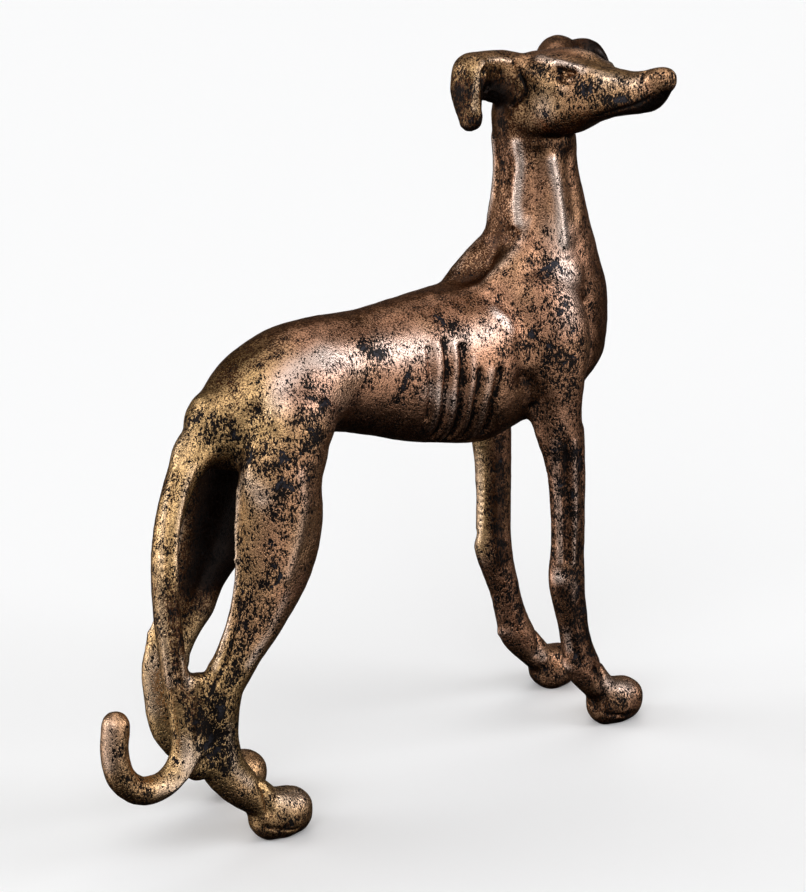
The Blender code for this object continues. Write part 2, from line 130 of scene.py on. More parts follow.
@dataclass(frozen=True)
class Loft:
    """A closed form carried along a path through stations.

    Each station is x, y, z, outer radius, inner radius, side radius. The side radius
    lies along side, and the outer one along path x side: the front of a form that runs
    down, the top of one that runs forward.

    Attributes:
        stations: The rows that the form passes through.
        side: Direction of the side radius.
        facing: Direction that every section faces, or None to square up to the path.
        power: 2 for oval sections, more for squarer ones.
        rings: Number of sections.
        around: Number of points in a section.
        domes: Height of each end cap, as a share of the mean radius there.
    """

    stations: Rows
    side: Row = LEFTWARD
    facing: Row | None = None
    power: float = 2.0
    rings: int = 72
    around: int = 52
    domes: Span = (1.0, 1.0)

    def rows(self) -> Array:
        """Read the cubic curve through the stations at even distances.

        Returns:
            One row of six values for each section.
        """
        stations = np.asarray(self.stations, float)
        gaps = np.linalg.norm(np.diff(stations[:, :3], axis=0), axis=1)
        along = np.concatenate([[0.0], np.cumsum(gaps)])
        slope = np.gradient(stations, along, axis=0)
        at = np.linspace(0.0, along[-1], self.rings)
        cell = np.clip(np.searchsorted(along, at, side="right") - 1, 0, len(gaps) - 1)
        span = gaps[cell][:, None]
        t = (at - along[cell])[:, None] / span
        start = (2 * t**3 - 3 * t**2 + 1) * stations[cell]
        leave = (t**3 - 2 * t**2 + t) * span * slope[cell]
        end = (3 * t**2 - 2 * t**3) * stations[cell + 1]
        arrive = (t**3 - t**2) * span * slope[cell + 1]
        return start + leave + end + arrive

    def skin(self) -> tuple[Array, list[tuple[int, ...]]]:
        """Work out the form's surface.

        A point is centre + side * side radius * c + outer * radius * s, where c and s
        are the cosine and sine of the angle, bent by power. The end rings shrink by a
        cosine and move out by a sine, which closes the form with a dome.

        Returns:
            The points, and the faces as tuples of indices.
        """
        rows = self.rows()
        centre = rows[:, :3]
        count = len(rows)
        path = np.gradient(centre, axis=0) if self.facing is None else np.tile(self.facing, (count, 1))
        path = path / np.linalg.norm(path, axis=1)[:, None]
        side = np.array(self.side) - (path @ np.array(self.side))[:, None] * path
        side /= np.linalg.norm(side, axis=1)[:, None]
        outer = np.cross(path, side)
        bend = np.radians(DOME_ANGLES)
        near, far = self.domes
        pick = np.concatenate([np.zeros(len(bend), int), np.arange(count), np.full(len(bend), count - 1)])
        shrink = np.concatenate([np.cos(bend[::-1]), np.ones(count), np.cos(bend)])
        push = np.concatenate([-np.sin(bend[::-1]) * near, np.zeros(count), np.sin(bend) * far])
        height = rows[pick, 3:6].mean(axis=1)
        angle = np.linspace(0.0, 2.0 * math.pi, self.around, endpoint=False)
        wave = np.stack([np.cos(angle), np.sin(angle)])
        across, rise = np.sign(wave) * np.abs(wave) ** (2.0 / self.power)
        radius = np.where(rise > 0, rows[pick, 3][:, None], rows[pick, 4][:, None])
        rings = (
            (centre[pick] + path[pick] * (push * height)[:, None])[:, None]
            + side[pick][:, None] * (shrink[:, None] * rows[pick, 5][:, None] * across)[..., None]
            + outer[pick][:, None] * (shrink[:, None] * radius * rise)[..., None]
        )
        first = centre[0] - path[0] * height[0] * near
        last = centre[-1] + path[-1] * height[-1] * far
        return np.concatenate([rings.reshape(-1, 3), [first, last]]), self._faces(len(pick))

    def _faces(self, count: int) -> list[tuple[int, ...]]:
        """List the quads between the rings and the triangles of both tips.

        Args:
            count: Number of rings, end caps included.

        Returns:
            The faces as tuples of indices.
        """
        here = np.arange(self.around)
        beside = np.roll(here, -1)
        row = np.arange(count - 1)[:, None] * self.around
        next_row = row + self.around
        quads = np.stack([row + here, row + beside, next_row + beside, next_row + here], axis=-1)
        end = (count - 1) * self.around
        tip = count * self.around
        faces = [tuple(quad) for quad in quads.reshape(-1, 4).tolist()]
        faces += [(tip, b, a) for a, b in zip(here.tolist(), beside.tolist())]
        faces += [(tip + 1, end + a, end + b) for a, b in zip(here.tolist(), beside.tolist())]
        return faces


def profile_loft(profile: Rows, **options: object) -> Loft:
    """Make a level form from a profile.

    Args:
        profile: Rows of x, top, bottom, half width and height of the widest line.
        options: Further values of the Loft.

    Returns:
        The form, with upright sections that face ahead.
    """
    rows = tuple((x, 0.0, mid, top - mid, mid - low, wide) for x, top, low, wide, mid in profile)
    return Loft(rows, facing=AHEAD, **options)


@dataclass(frozen=True)
class Stroke:
    """A mark of the modeller's tool along a line: a groove, or a ridge at a negative depth.

    Attributes:
        width: Distance from the line at which the mark has faded to a third.
        depth: How far the skin sinks on the line.
        path: The line's points. One point alone makes a dimple.
        edge: How abruptly it ends: 2 fades away, 4 is level with a rounded edge.
    """

    width: float
    depth: float
    path: Rows
    edge: float = 2.0

    def sharpness_at(self, points: Array) -> Array:
        """Work out how steep the mark is, its depth for its width: below 0 on a ridge."""
        return self.depth_at(points) / self.width

    def depth_at(self, points: Array) -> Array:
        """Work out how far each point sinks: depth * exp(-(distance / width)^edge).

        Args:
            points: Points of the skin.

        Returns:
            One depth for each point.
        """
        path = np.asarray(self.path if len(self.path) > 1 else self.path * 2, float)
        reach = FADED * self.width
        close = np.all((points > path.min(0) - reach) & (points < path.max(0) + reach), axis=1)
        depth = np.zeros(len(points))
        if not close.any():
            return depth
        near = points[close]
        nearest = np.full(len(near), np.inf)
        for start, end in zip(path[:-1], path[1:]):
            run = end - start
            t = np.clip((near - start) @ run / max(run @ run, 1e-9), 0.0, 1.0)
            nearest = np.minimum(nearest, np.linalg.norm(near - start - t[:, None] * run, axis=1))
        depth[close] = self.depth * np.exp(-((nearest / self.width) ** self.edge))
        return depth


Strokes = tuple[Stroke, ...]


def single(*rows: Mark) -> Strokes:
    """Make a stroke from each row of width, depth and points."""
    return tuple(Stroke(width, depth, tuple(path)) for width, depth, *path in rows)


def paired(*rows: Mark, edge: float = 2.0) -> Strokes:
    """Make each row's stroke on both sides of the dog.

    Args:
        rows: Width, depth and points, with the distance out as y.
        edge: How abruptly the strokes end.

    Returns:
        The right stroke and the left one of each row in turn.
    """
    return tuple(
        Stroke(width, depth, on_side(path, side), edge) for width, depth, *path in rows for side in Side
    )


@dataclass(frozen=True)
class RibCage:
    """Hollows between the ribs, drawn on the side view and fading round the belly.

    Attributes:
        hollows: Rear to front, as x at the top, in the middle and at the bottom, the heights
            of top and bottom, width and depth.
        crest: Width and depth of the raised line halfway between two hollows.
        belly: Height under which nothing is carved.
        fade: Distances out at which the hollows begin and are full.
    """

    hollows: Rows = (
        (-24.0, -23.8, -22.8, 228, 192, 1.7, 1.2),
        (-13.8, -15.4, -12.6, 230, 178, 1.7, 2.0),
        (-4.8, -6.2, -2.2, 226, 175, 2.2, 2.8),
        (3.6, 2.6, 5.4, 213, 175, 1.6, 1.9),
        (16.0, 13.2, 15.8, 211, 177, 2.0, 2.6),
    )
    crest: Span = (2.4, -0.5)
    belly: float = 160.0
    fade: Span = (8.0, 16.0)

    def strokes(self) -> list[Stroke]:
        """Draw the hollows, and the crests between them, on the dog's middle plane.

        Returns:
            The strokes, all at y = 0.
        """
        lines = [
            ((top_x, 0.0, top), (middle_x, 0.0, 0.5 * (top + low)), (low_x, 0.0, low))
            for top_x, middle_x, low_x, top, low, _, _ in self.hollows
        ]
        strokes = [Stroke(*row[5:], line) for row, line in zip(self.hollows, lines)]
        for rear, front in zip(lines, lines[1:]):
            halfway = 0.5 * (np.array(rear) + np.array(front))
            strokes.append(Stroke(*self.crest, tuple(map(tuple, halfway))))
        return strokes

    def depth_at(self, points: Array) -> Array:
        """Work out how far each point sinks between the ribs.

        Args:
            points: Points of the skin.

        Returns:
            One depth for each point.
        """
        flank = np.where(points[:, 2] > self.belly, np.abs(points[:, 1]), 0.0)
        view = points * (1.0, 0.0, 1.0)
        depth = sum(stroke.depth_at(view) for stroke in self.strokes())
        return depth * ramp(flank, *self.fade)


@dataclass(frozen=True)
class Torso:
    """Trunk, breast and neck.

    Attributes:
        trunk: Rump to chest, as x, top, bottom, half width, height of the widest line.
        neck: Breast and neck upward, as x, height, rear, front and side radius.
        ribs: The hollows between the ribs.
        midline: Carving near the middle line, as width, depth and points.
        sides: Carving on both sides of breast, flank and neck, with the distance out as y.
    """

    trunk: Rows = (
        (-133, 221.5, 184, 13.5, 203.5),
        (-120, 232.5, 180.5, 20.5, 208),
        (-105, 239, 184, 26, 213),
        (-88, 244, 188, 27.5, 216),
        (-68, 245.4, 189.2, 26.5, 218.5),
        (-45, 244.4, 183.2, 26.5, 216.5),
        (-22, 246, 175.5, 29, 214),
        (2, 248, 170, 32.5, 211),
        (24, 249.4, 166.2, 33.5, 210),
        (46, 250, 170.3, 30, 211),
        (68, 249, 175.5, 25, 212),
        (84, 242, 181, 18, 211),
    )
    neck: Rows = (
        (74, 188, 30, 24.5, 19),
        (73.5, 197, 36, 34.8, 22.5),
        (72, 209, 40, 40, 24.5),
        (71.5, 223, 41, 41, 25),
        (70.5, 237, 40, 40, 26),
        (69.5, 251, 34.5, 35.6, 25),
        (68.5, 268, 28, 31, 22.5),
        (68, 284, 24.6, 26, 20.8),
        (67.4, 303, 22.4, 21, 19.2),
        (67, 328, 25, 20, 19.6),
    )
    ribs: RibCage = field(default_factory=RibCage)
    midline: Marks = (
        (7, 1.6, (10, 0, 250), (23, 0, 252), (33, 0, 257), (42, 0, 266)),
        (5, 0.8, (-104, 0, 239), (-118, 0, 231), (-128, 0, 223)),
        (6, 1.1, (-142, 4, 216), (-142, -4, 216)),
        (6, -1.5, (-148, 1, 202), (-151, 0, 196)),
        (1.5, 1.3, (44, -9, 273)),
        (1.3, 1.2, (44.5, -12, 271.5)),
        (1.2, 1, (43, -7, 266)),
    )
    sides: Marks = (
        (5, 1.2, (76, 22, 262), (79, 24, 250), (80, 27, 236)),
        (4, 2.8, (80, 27, 232), (82, 26.5, 215), (82, 26, 200), (80, 25, 190)),
        (4.4, -0.7, (21, 25, 239), (26, 26, 234), (25, 30, 228)),
        (4, 0.9, (-71, 12, 192), (-82, 24, 192), (-91, 34, 193)),
        (2.9, -1.3, *NAPE_CORD),
        (2.9, -1.4, *SIDE_CORD),
        (4, 1.3, (54, 15, 310), (54, 16, 297), (53.5, 17, 283), (54, 19, 272)),
        (4, 1.2, (72, 19, 307), (74, 20, 292), (76, 21, 278)),
        (1.2, 1.1, (45, 6, 307), (46, 5, 300), (45, 4, 293), (45, 5, 289)),
        (6, -1.2, (87, 5, 321), (88, 5, 312)),
        (6, -1.6, (58, 25, 253), (66, 26, 249), (74, 25, 248)),
        (2.4, -0.7, (50, 15.5, 279), (42, 14, 266), (34, 14.3, 259), (27, 12, 254), (18, 9, 250.5)),
    )

    def lofts(self) -> list[Loft]:
        """Shape the trunk and the neck.

        Returns:
            Both forms.
        """
        neck = tuple((x, 0.0, z, rear, front, wide) for x, z, rear, front, wide in self.neck)
        return [
            profile_loft(self.trunk, rings=110, around=84, power=2.1, domes=(0.7, 1.0)),
            Loft(neck, facing=UPWARD, rings=80, around=72, domes=(0.25, 1.0)),
        ]

    def strokes(self) -> Strokes:
        """Carve the withers, rump, breast, flank and neck."""
        return single(*self.midline) + paired(*self.sides)


@dataclass(frozen=True)
class Leg:
    """What both pairs of legs share: how the left leg leads and where the paw stands.

    Attributes:
        paw_x: x of the paw's middle on the right.
        paw_out: Its distance out.
        stride: How much further forward the left paw stands.
        swing: Height from which the left leg starts to lead.
        paw: The paw heel to toe, as x from its middle, top, underside, half width, widest line.
        ease: Power by which the lead grows downward.
        toe_gap: Half the distance between the two grooves of a paw.
        toe_line: Their points, as x from the paw's middle and height.
        toe_cut: Their width and depth.
        sides: Carving on both legs, as width, depth and points with the distance out as y.
        leading: Carving that moves with the leading left leg.
    """

    paw_x: float
    paw_out: float
    stride: float
    swing: float
    paw: Rows = (
        (-4.5, 22.4, -1.2, 9.6, 12),
        (1, 23.6, -1.8, 11.8, 11.5),
        (7, 22.2, -1.4, 11.4, 11),
    )
    ease: float = 0.7
    toe_gap: float = 3.8
    toe_line: Rows = ((3, 23), (11, 19), (16, 12), (17, 5))
    toe_cut: Span = (1.1, 0.8)
    sides: Marks = ()
    leading: Marks = ()

    def led(self, rows: Rows, side: Side) -> Rows:
        """Place leg stations on one side; the left ones lead from the swing height down.

        Args:
            rows: Stations with the distance out as y.
            side: The side of the leg.

        Returns:
            The placed stations.
        """
        placed = on_side(rows, side)
        if side is Side.RIGHT:
            return placed
        return tuple(
            (x + self.stride * max(0.0, 1.0 - z / self.swing) ** self.ease, y, z, *rest)
            for x, y, z, *rest in placed
        )

    def paw_loft(self, side: Side) -> Loft:
        """Shape a paw; the left ones have less heel.

        Args:
            side: The side of the leg.

        Returns:
            The form.
        """
        x = self.paw_x + (self.stride if side is Side.LEFT else 0.0)
        y = side.value * self.paw_out
        paw = self.paw if side is Side.RIGHT else self.paw[1:]
        rows = tuple((x + dx, y, mid, top - mid, mid - low, wide) for dx, top, low, wide, mid in paw)
        return Loft(rows, facing=AHEAD, rings=32, around=56, power=2.3)

    def led_pairs(self, *rows: Mark) -> Strokes:
        """Make each row's stroke on both legs, moved with the leading left one.

        Args:
            rows: Width, depth and points, with the distance out as y.

        Returns:
            The right stroke and the left one of each row in turn.
        """
        return tuple(
            Stroke(width, depth, self.led(path, side)) for width, depth, *path in rows for side in Side
        )

    def toes(self) -> Strokes:
        """Groove each paw between its toes.

        Returns:
            Two strokes for each paw.
        """
        grooves: list[Mark] = []
        for out in (self.paw_out - self.toe_gap, self.paw_out + self.toe_gap):
            grooves.append((*self.toe_cut, *((self.paw_x + x, out, z) for x, z in self.toe_line)))
        return self.led_pairs(*grooves)

    def own(self) -> Strokes:
        """Carve what only this kind of leg has."""
        return ()

    def strokes(self) -> Strokes:
        """Carve the leg's edges and cords and the paw's creases."""
        return paired(*self.sides) + self.led_pairs(*self.leading) + self.own() + self.toes()


@dataclass(frozen=True)
class Foreleg(Leg):
    """Shoulder, foreleg and paw.

    Attributes:
        nape: Ridge from the neck to the top of the blade, as x, y, z, front, back, side.
        shoulder: Blade top to elbow.
        leg: Elbow to paw.
        notches: Number of dimples in the ladder up the back of the leg.
        notch_step: Height from one to the next.
        notch_foot: Place of the lowest.
        notch_lean: How much the ladder moves back and inward for each unit of height.
        notch_run: How far each dimple runs forward and inward.
        notch_cut: Its width and depth.
    """

    paw_x: float = 103.0
    paw_out: float = 27.6
    stride: float = 4.5
    swing: float = 90.0
    nape: Rows = (
        (49, 9, 261, 9, 8, 10.5),
        (41, 11, 254, 10, 9, 9.5),
        (33, 12.5, 248, 9, 8.5, 8),
        (26, 13, 243, 8, 8, 7),
    )
    shoulder: Rows = (
        (30, 13, 241, 9, 8, 8),
        (43, 17, 241, 14, 15, 12),
        (55, 22, 231, 20, 24, 15.5),
        (61, 24.5, 215, 18, 28, 16),
        (61, 26, 198, 12.4, 24, 15),
        (61.5, 27.2, 181, 10.4, 18, 11.5),
        (63.6, 28, 166, 11.4, 15.3, 8.8),
    )
    leg: Rows = (
        (64, 28, 168, 11.6, 16, 8.5),
        (66.5, 28.4, 148, 10.4, 12.6, 7.2),
        (67.6, 28.6, 124, 9.8, 11, 6.6),
        (67.6, 28.6, 102, 9.8, 10.8, 6.8),
        (67.6, 28.6, 90, 10.4, 11.6, 7.4),
        (69, 28.4, 79, 10, 10, 7),
        (72.4, 28, 66, 8.8, 9, 6.6),
        (76.4, 27.8, 50, 8.6, 9.4, 6.8),
        (80.4, 27.6, 38, 9.6, 10.4, 7.8),
        (88, 27.6, 27, 9.2, 8.6, 8),
        (95, 27.6, 19, 9, 7.6, 8.6),
    )
    sides: Marks = (
        (5.5, 0.6, (27, 20, 244), (31, 26, 231), (30, 31, 218), (30, 33, 208)),
        (5.4, 2.4, (32, 31, 203), (39, 29, 199), (45, 29, 193)),
        (2, 1.3, (45, 31, 194), (41, 28, 187)),
        (2.6, -0.8, (56, 33, 197), (54, 34, 186), (56, 34, 174)),
        (1.7, -0.9, (52, 33.5, 168), (55.5, 31.6, 151), (58.4, 31.9, 124), (59, 32.4, 102)),
        (1.8, 1.4, (58, 34.5, 166), (60, 34.5, 150), (62, 34.5, 124), (62.4, 34.5, 102)),
        (1.8, -0.9, (63, 36, 166), (65, 35.5, 150), (66, 35.3, 130), (65.4, 36, 100)),
        (1.4, 0.8, (70, 35, 160), (71, 34, 140), (72, 33, 118)),
        (3.4, -0.7, (58, 32, 92), (64, 35, 89)),
    )
    leading: Marks = (
        (2.6, -1.1, (69, 29, 39), (71, 25, 41)),
        (1.4, 0.8, (66, 32, 60), (70, 33, 50), (74, 34, 42)),
        (2, 1.7, (83, 35, 36), (88, 35, 30), (90, 35, 21), (89, 33, 12)),
        (2, 1.3, (88, 33, 35), (91, 28, 37), (89, 22, 34), (88, 20, 24)),
        (1.1, 0.7, (88, 26, 12), (91, 34, 9), (98, 37, 6), (108, 38, 5)),
    )
    notches: int = 19
    notch_step: float = 3.4
    notch_foot: Row = (57.4, 28.8, 104.0)
    notch_lean: Span = (0.055, 0.045)
    notch_run: Span = (0.8, 1.2)
    notch_cut: Span = (1.0, 0.8)

    def lofts(self) -> list[Loft]:
        """Shape both shoulders, forelegs and paws.

        Returns:
            Four forms for the right leg, then four for the left one.
        """
        lofts: list[Loft] = []
        for side in Side:
            lofts.append(Loft(on_side(self.nape, side), rings=36))
            lofts.append(Loft(on_side(self.shoulder, side)))
            lofts.append(Loft(self.led(self.leg, side), rings=110))
            lofts.append(self.paw_loft(side))
        return lofts

    def own(self) -> Strokes:
        """Notch the ladder up the back of the foreleg.

        Returns:
            The dimples of both legs, from the lowest up.
        """
        foot, first_out, height = self.notch_foot
        rows: list[Mark] = []
        for number in range(self.notches):
            rise = self.notch_step * number
            back = foot - self.notch_lean[0] * rise
            out = first_out - self.notch_lean[1] * rise
            end = (back + self.notch_run[0], out - self.notch_run[1], height + rise)
            rows.append((*self.notch_cut, (back, out, height + rise), end))
        return paired(*rows)


@dataclass(frozen=True)
class HindLeg(Leg):
    """Haunch, thigh, hind foot and paw.

    Attributes:
        thigh: Croup to hock, as x, y, z, front, back, side.
        foot: Hock to paw.
        haunch: The raised muscle over the hip.
        haunch_edge: How abruptly it ends.
        far_thigh: Swelling on the inner side of the left thigh.
    """

    paw_x: float = -116.0
    paw_out: float = 24.0
    stride: float = 7.6
    swing: float = 95.0
    thigh: Rows = (
        (-98, 19, 210, 20, 20, 14.5),
        (-103, 21.5, 197, 21, 22.5, 16.2),
        (-108.5, 23.5, 182, 19.4, 23.5, 15.8),
        (-112.5, 25, 167, 23.4, 22, 14.5),
        (-116, 26, 150, 24.6, 20.5, 13),
        (-120, 26.5, 133, 20.4, 18.5, 11.8),
        (-126.5, 26.5, 116, 13.8, 16, 10.2),
        (-136, 26, 100, 9.6, 13.6, 9),
        (-144.4, 25, 87, 8.8, 12.4, 8),
    )
    foot: Rows = (
        (-143, 25.5, 92, 8.6, 12.6, 8),
        (-148.6, 25, 78, 10.4, 12.2, 7.8),
        (-149.8, 24, 64, 11.4, 11.6, 7.4),
        (-148.6, 23.5, 50, 11.6, 11.6, 7.8),
        (-142.5, 23, 38, 10.6, 10.4, 8.2),
        (-133, 23, 27, 9.6, 9, 8.4),
        (-125, 23, 20, 9.4, 8, 8.8),
    )
    haunch: Marks = (
        (18, -2.6, (-95.5, 30, 214), (-86, 31, 215)),
    )
    haunch_edge: float = 4.0
    sides: Marks = (
        (4, 1.3, (-121, 22, 214), (-121, 26, 209), (-120, 31, 204)),
        (7, 0.7, (-104, 37, 206), (-96, 36, 204), (-88, 35, 200)),
        (1.3, 1.4, (-139, 28, 129), (-143, 29, 117), (-145, 30, 107), (-151, 30, 96), (-157, 29, 86)),
        (1.8, -0.9, (-137, 25, 146), (-141, 24, 128), (-147, 26, 110), (-153, 28, 98)),
        (2, -1.2, (-131, 20, 178), (-134, 22, 160), (-137, 25, 147)),
        (3, -0.8, (-110, 39, 186), (-108, 39, 172), (-112, 39, 154), (-118, 38, 138)),
    )
    leading: Marks = (
        (2.2, 0.9, (-158, 31, 80), (-159, 31, 66), (-156, 31, 54)),
        (2, 1.7, (-128, 30, 32), (-127, 32, 25), (-126, 32, 17)),
        (2, 1.3, (-128, 29, 32), (-127, 24, 35), (-128, 18, 32)),
        (1.1, 0.7, (-128, 31, 10), (-121, 34, 7), (-112, 35, 5)),
    )
    far_thigh: Marks = (
        (8, -1.3, (-93, 26, 162), (-100, 26, 140), (-106, 25, 128)),
        (8, -2.4, (-122, 22, 102), (-130, 20, 90), (-137, 20, 82)),
    )

    def lofts(self) -> list[Loft]:
        """Shape both thighs, feet and paws.

        Returns:
            Three forms for the right leg, then three for the left one.
        """
        lofts: list[Loft] = []
        for side in Side:
            lofts.append(Loft(on_side(self.thigh, side), rings=96, around=60, domes=(0.65, 1.0)))
            lofts.append(Loft(self.led(self.foot, side)))
            lofts.append(self.paw_loft(side))
        return lofts

    def own(self) -> Strokes:
        """Carve the inner side of the far thigh."""
        return single(*self.far_thigh)

    def strokes(self) -> Strokes:
        """Carve the haunch, the cords above the hock and the paw's creases."""
        return paired(*self.haunch, edge=self.haunch_edge) + super().strokes()


@dataclass(frozen=True)
class Tail:
    """The tail, its hooked end and the web of metal that joins it to the right hock.

    Attributes:
        tail: Root to tip, as x, y, z, radius.
        web: Top to bottom, as x, y, z, front, back, side.
        beads: Number of beads in the line down the tail.
        bead: Width and depth of a bead.
        bead_top: Place of the highest one.
        bead_step: Height from one to the next.
        bead_lean: How much the line moves to the right for each unit of height.
        cords: The long groove, the ridges on either side of it and the hook's edges.
    """

    tail: Rows = (
        (-124, -1, 209, 11),
        (-140, -2, 197, 9.6),
        (-154.5, -5, 181.5, 7.3),
        (-164.4, -9, 163.5, 6.3),
        (-169.2, -13, 145, 6.3),
        (-171, -17, 123, 6.4),
        (-170.4, -21, 97, 6.3),
        (-168.6, -23.4, 74, 6.3),
        (-169.6, -24.6, 57, 6.4),
        (-180, -25, 46.6, 6.5),
        (-193.4, -25, 46.6, 6.7),
        (-204, -25, 56.5, 6.8),
        (-207, -25, 71, 6.8),
        (-206, -25, 83, 6.6),
    )
    web: Rows = (
        (-161, -24.4, 95, 6, 7.5, 4.2),
        (-161, -24.6, 84, 8, 8, 4.8),
        (-160.5, -24.6, 66, 9, 9, 5),
        (-159, -24.4, 50, 10, 10, 5),
    )
    beads: int = 15
    bead: Span = (1.3, -0.8)
    bead_top: Row = (-172.4, -16.2, 153.0)
    bead_step: float = 4.2
    bead_lean: float = 0.19
    cords: Marks = (
        (1.5, 1.6, (-158, -8, 189), (-162, -11, 181), (-167, -15, 168), (-171, -19, 151), (-172, -22, 134),
         (-173, -25, 116), (-172, -28, 94)),
        (1.9, -0.9, (-152, -5, 193), (-158, -7, 186), (-166, -11, 174), (-172, -15.5, 152), (-175, -19, 134),
         (-176, -22, 116), (-176, -25, 94)),
        (1.8, -0.9, (-150, -10, 191), (-156, -13, 182), (-161, -15, 169), (-165, -18, 151), (-166, -23, 130),
         (-165, -26, 110)),
        (2, 0.9, (-165, -31, 66), (-163, -30, 78), (-162, -29, 90)),
        (1.6, -0.7, (-164, -31, 58), (-170, -31, 50), (-180, -31, 45)),
    )

    def lofts(self) -> list[Loft]:
        """Give the tail and its web."""
        rows = tuple((x, y, z, radius, radius, radius) for x, y, z, radius in self.tail)
        return [Loft(rows, rings=190, around=36), Loft(self.web, around=36, domes=(0.2, 1.0))]

    def strokes(self) -> Strokes:
        """Groove the tail lengthwise, with a ridge on each side and a beaded line.

        Returns:
            The beads from the top down, then the cords.
        """
        x, y, z = self.bead_top
        falls = [self.bead_step * number for number in range(self.beads)]
        beads = [(*self.bead, (x, y - self.bead_lean * fall, z - fall)) for fall in falls]
        return single(*beads, *self.cords)


@dataclass(frozen=True)
class Head:
    """Skull, muzzle and ears, in the head's own frame: forward, left and up from its middle.

    Attributes:
        centre: The middle of the head, on top of the neck.
        turn: Degrees that the head turns to the dog's left.
        lift: Degrees that the muzzle is raised.
        tilt: Degrees that the head leans to its left.
        skull: Nape to nose, as forward, top, bottom, half width, height of the widest line.
        right_ear: Skull to tip, as forward, outward, up, outer, inner, half width.
        left_ear: The same for the left ear, which is folded further back.
        face: Carving of brows and eyes on both sides, as width, depth and points.
        crown: The swelling between the ears.
        muzzle_and_ears: Carving of cheeks, mouth, nostrils and ears on both sides.
        nose: The groove down its tip.
    """

    centre: Row = (67.0, 0.0, 335.0)
    turn: float = -84.0
    lift: float = 2.0
    tilt: float = -3.0
    skull: Rows = (
        (-14, 17, -20, 15, 1),
        (-5, 22, -21, 18.6, 3),
        (5, 23.4, -20, 19.2, 4),
        (16, 23.8, -17.5, 18.8, 5),
        (27, 22.8, -14.5, 17, 5),
        (37, 20.8, -9.5, 14.6, 6),
        (48, 19, -5.6, 12, 7),
        (59, 18, -3.2, 10.4, 8),
        (68, 19, -1.4, 9.6, 9),
        (75, 20.8, 1, 8.8, 11.5),
        (79.5, 21.6, 5.5, 7.2, 15),
        (82, 21.2, 9.5, 5, 16),
    )
    right_ear: Rows = (
        (0, 10, 14, 8, 20, 8),
        (-4, 23, 18, 6.4, 20, 7.4),
        (-5.5, 34, 18.8, 5.6, 18.5, 7.8),
        (-5, 44.4, 17.0, 5.8, 17, 8.8),
        (-4, 47.2, 8.5, 3.8, 7.8, 9.8),
        (-2, 47.8, 0, 3.4, 6, 8.6),
        (0, 48, -7.6, 3.4, 5.4, 7.0),
    )
    left_ear: Rows = (
        (0, 10, 14.5, 7, 8, 9),
        (-7, 19, 20.2, 6.2, 8, 9),
        (-11, 28, 22.8, 5.8, 7.4, 8.4),
        (-10, 35.5, 20.4, 5, 6.8, 9),
        (-7, 43, 20.2, 5.8, 6.8, 9.6),
        (-3, 47.5, 11.5, 4.6, 6, 9.2),
        (1.5, 48, 0, 3.4, 4.6, 7),
    )
    face: Marks = (
        (2.2, -1.4, (11, 12, 21.4), (18, 13, 20.6), (25, 12.6, 20.3), (30, 11.8, 19.8), (37, 10.4, 18)),
        (2, -0.7, (36, 10.6, 18.6), (43, 9.3, 17.2), (51, 8.3, 15.4), (59, 8.6, 14.2)),
        (4, 0.7, (12, 2, 23.8), (24, 2, 23.4), (35, 2, 21.2), (46, 2, 19)),
        (3.6, 1.2, (31, 13.4, 15), (35, 12.6, 13.4)),
        (1.5, 2.6, (26.2, 13.2, 16.6), (29.6, 13.2, 17), (33.4, 12, 16.2)),
        (1.3, 2.3, (29.4, 14.6, 15), (29.4, 15.4, 12)),
        (2, -1.4, (33.6, 13, 12.6)),
        (0.9, 0.8, (29.6, 15.4, 11.4), (33.8, 14.6, 10.2)),
        (1.4, -1, (23.6, 12.6, 20), (27.5, 12.2, 19.4), (35, 11.8, 18.6), (39.4, 11.2, 16.4)),
        (3, -0.7, (31.6, 15.8, 8.4)),
    )
    crown: Marks = (
        (7, -2.6, (14, 2, 23.4), (21, 4.5, 22.8), (26, 6.5, 22.2)),
    )
    muzzle_and_ears: Marks = (
        (4.5, 0.9, (43, 12.6, 9), (52, 11.4, 8), (61, 10.4, 8.4)),
        (1.3, 1.3, (5, 20, 19), (5.7, 19.2, 12.8), (10.3, 18.2, 5.9), (7, 20.2, 0.9), (4, 22.6, -1.6)),
        (1.3, 1, (2, 29.6, 14.7), (0.6, 22, 10.1), (4, 20, 6)),
        (1, 0.7, (29.4, 16.3, 2.6)),
        (1.2, 0.8, (25.2, 17.4, 4.7)),
        (0.9, 0.8, (77, 6.9, 7.4), (72, 7.9, 4.5), (63, 7.9, 1.3), (54, 7.6, -1.5), (46, 7.5, -4)),
        (1.2, 0.9, (75.6, 8.6, 12.9), (77.2, 8, 11.6)),
        (1.1, 1.8, (71.2, 3.6, 19.4), (72.4, 6.2, 17.4), (73, 7.8, 14.6)),
        (2.6, 1, (-2, 20, -13), (4, 20.2, -14), (10.6, 16.3, -17.1), (17, 8.8, -17.5), (20, 0, -17.6)),
        (1.6, -0.8, (3, 42, 20.3), (3, 46, 16.7), (4.4, 48, 12.2), (5, 49.3, 7.6), (5, 50, -2)),
        (1.5, 1.6, (4, 43.1, 15.7), (4.7, 44.3, 12), (4.8, 45, 4.9), (4.6, 45.4, -2)),
        (1.8, -0.7, (1.7, 36.5, 21), (2.3, 30.1, 21), (3.8, 24.5, 20)),
        (2.2, 0.8, (3, 37, 14), (4, 30, 12), (6, 24, 9), (7.5, 21, 5)),
    )
    nose: Marks = (
        (1.1, 0.9, (84.5, 0, 19), (86, 0, 14), (84.5, 0, 9)),
    )

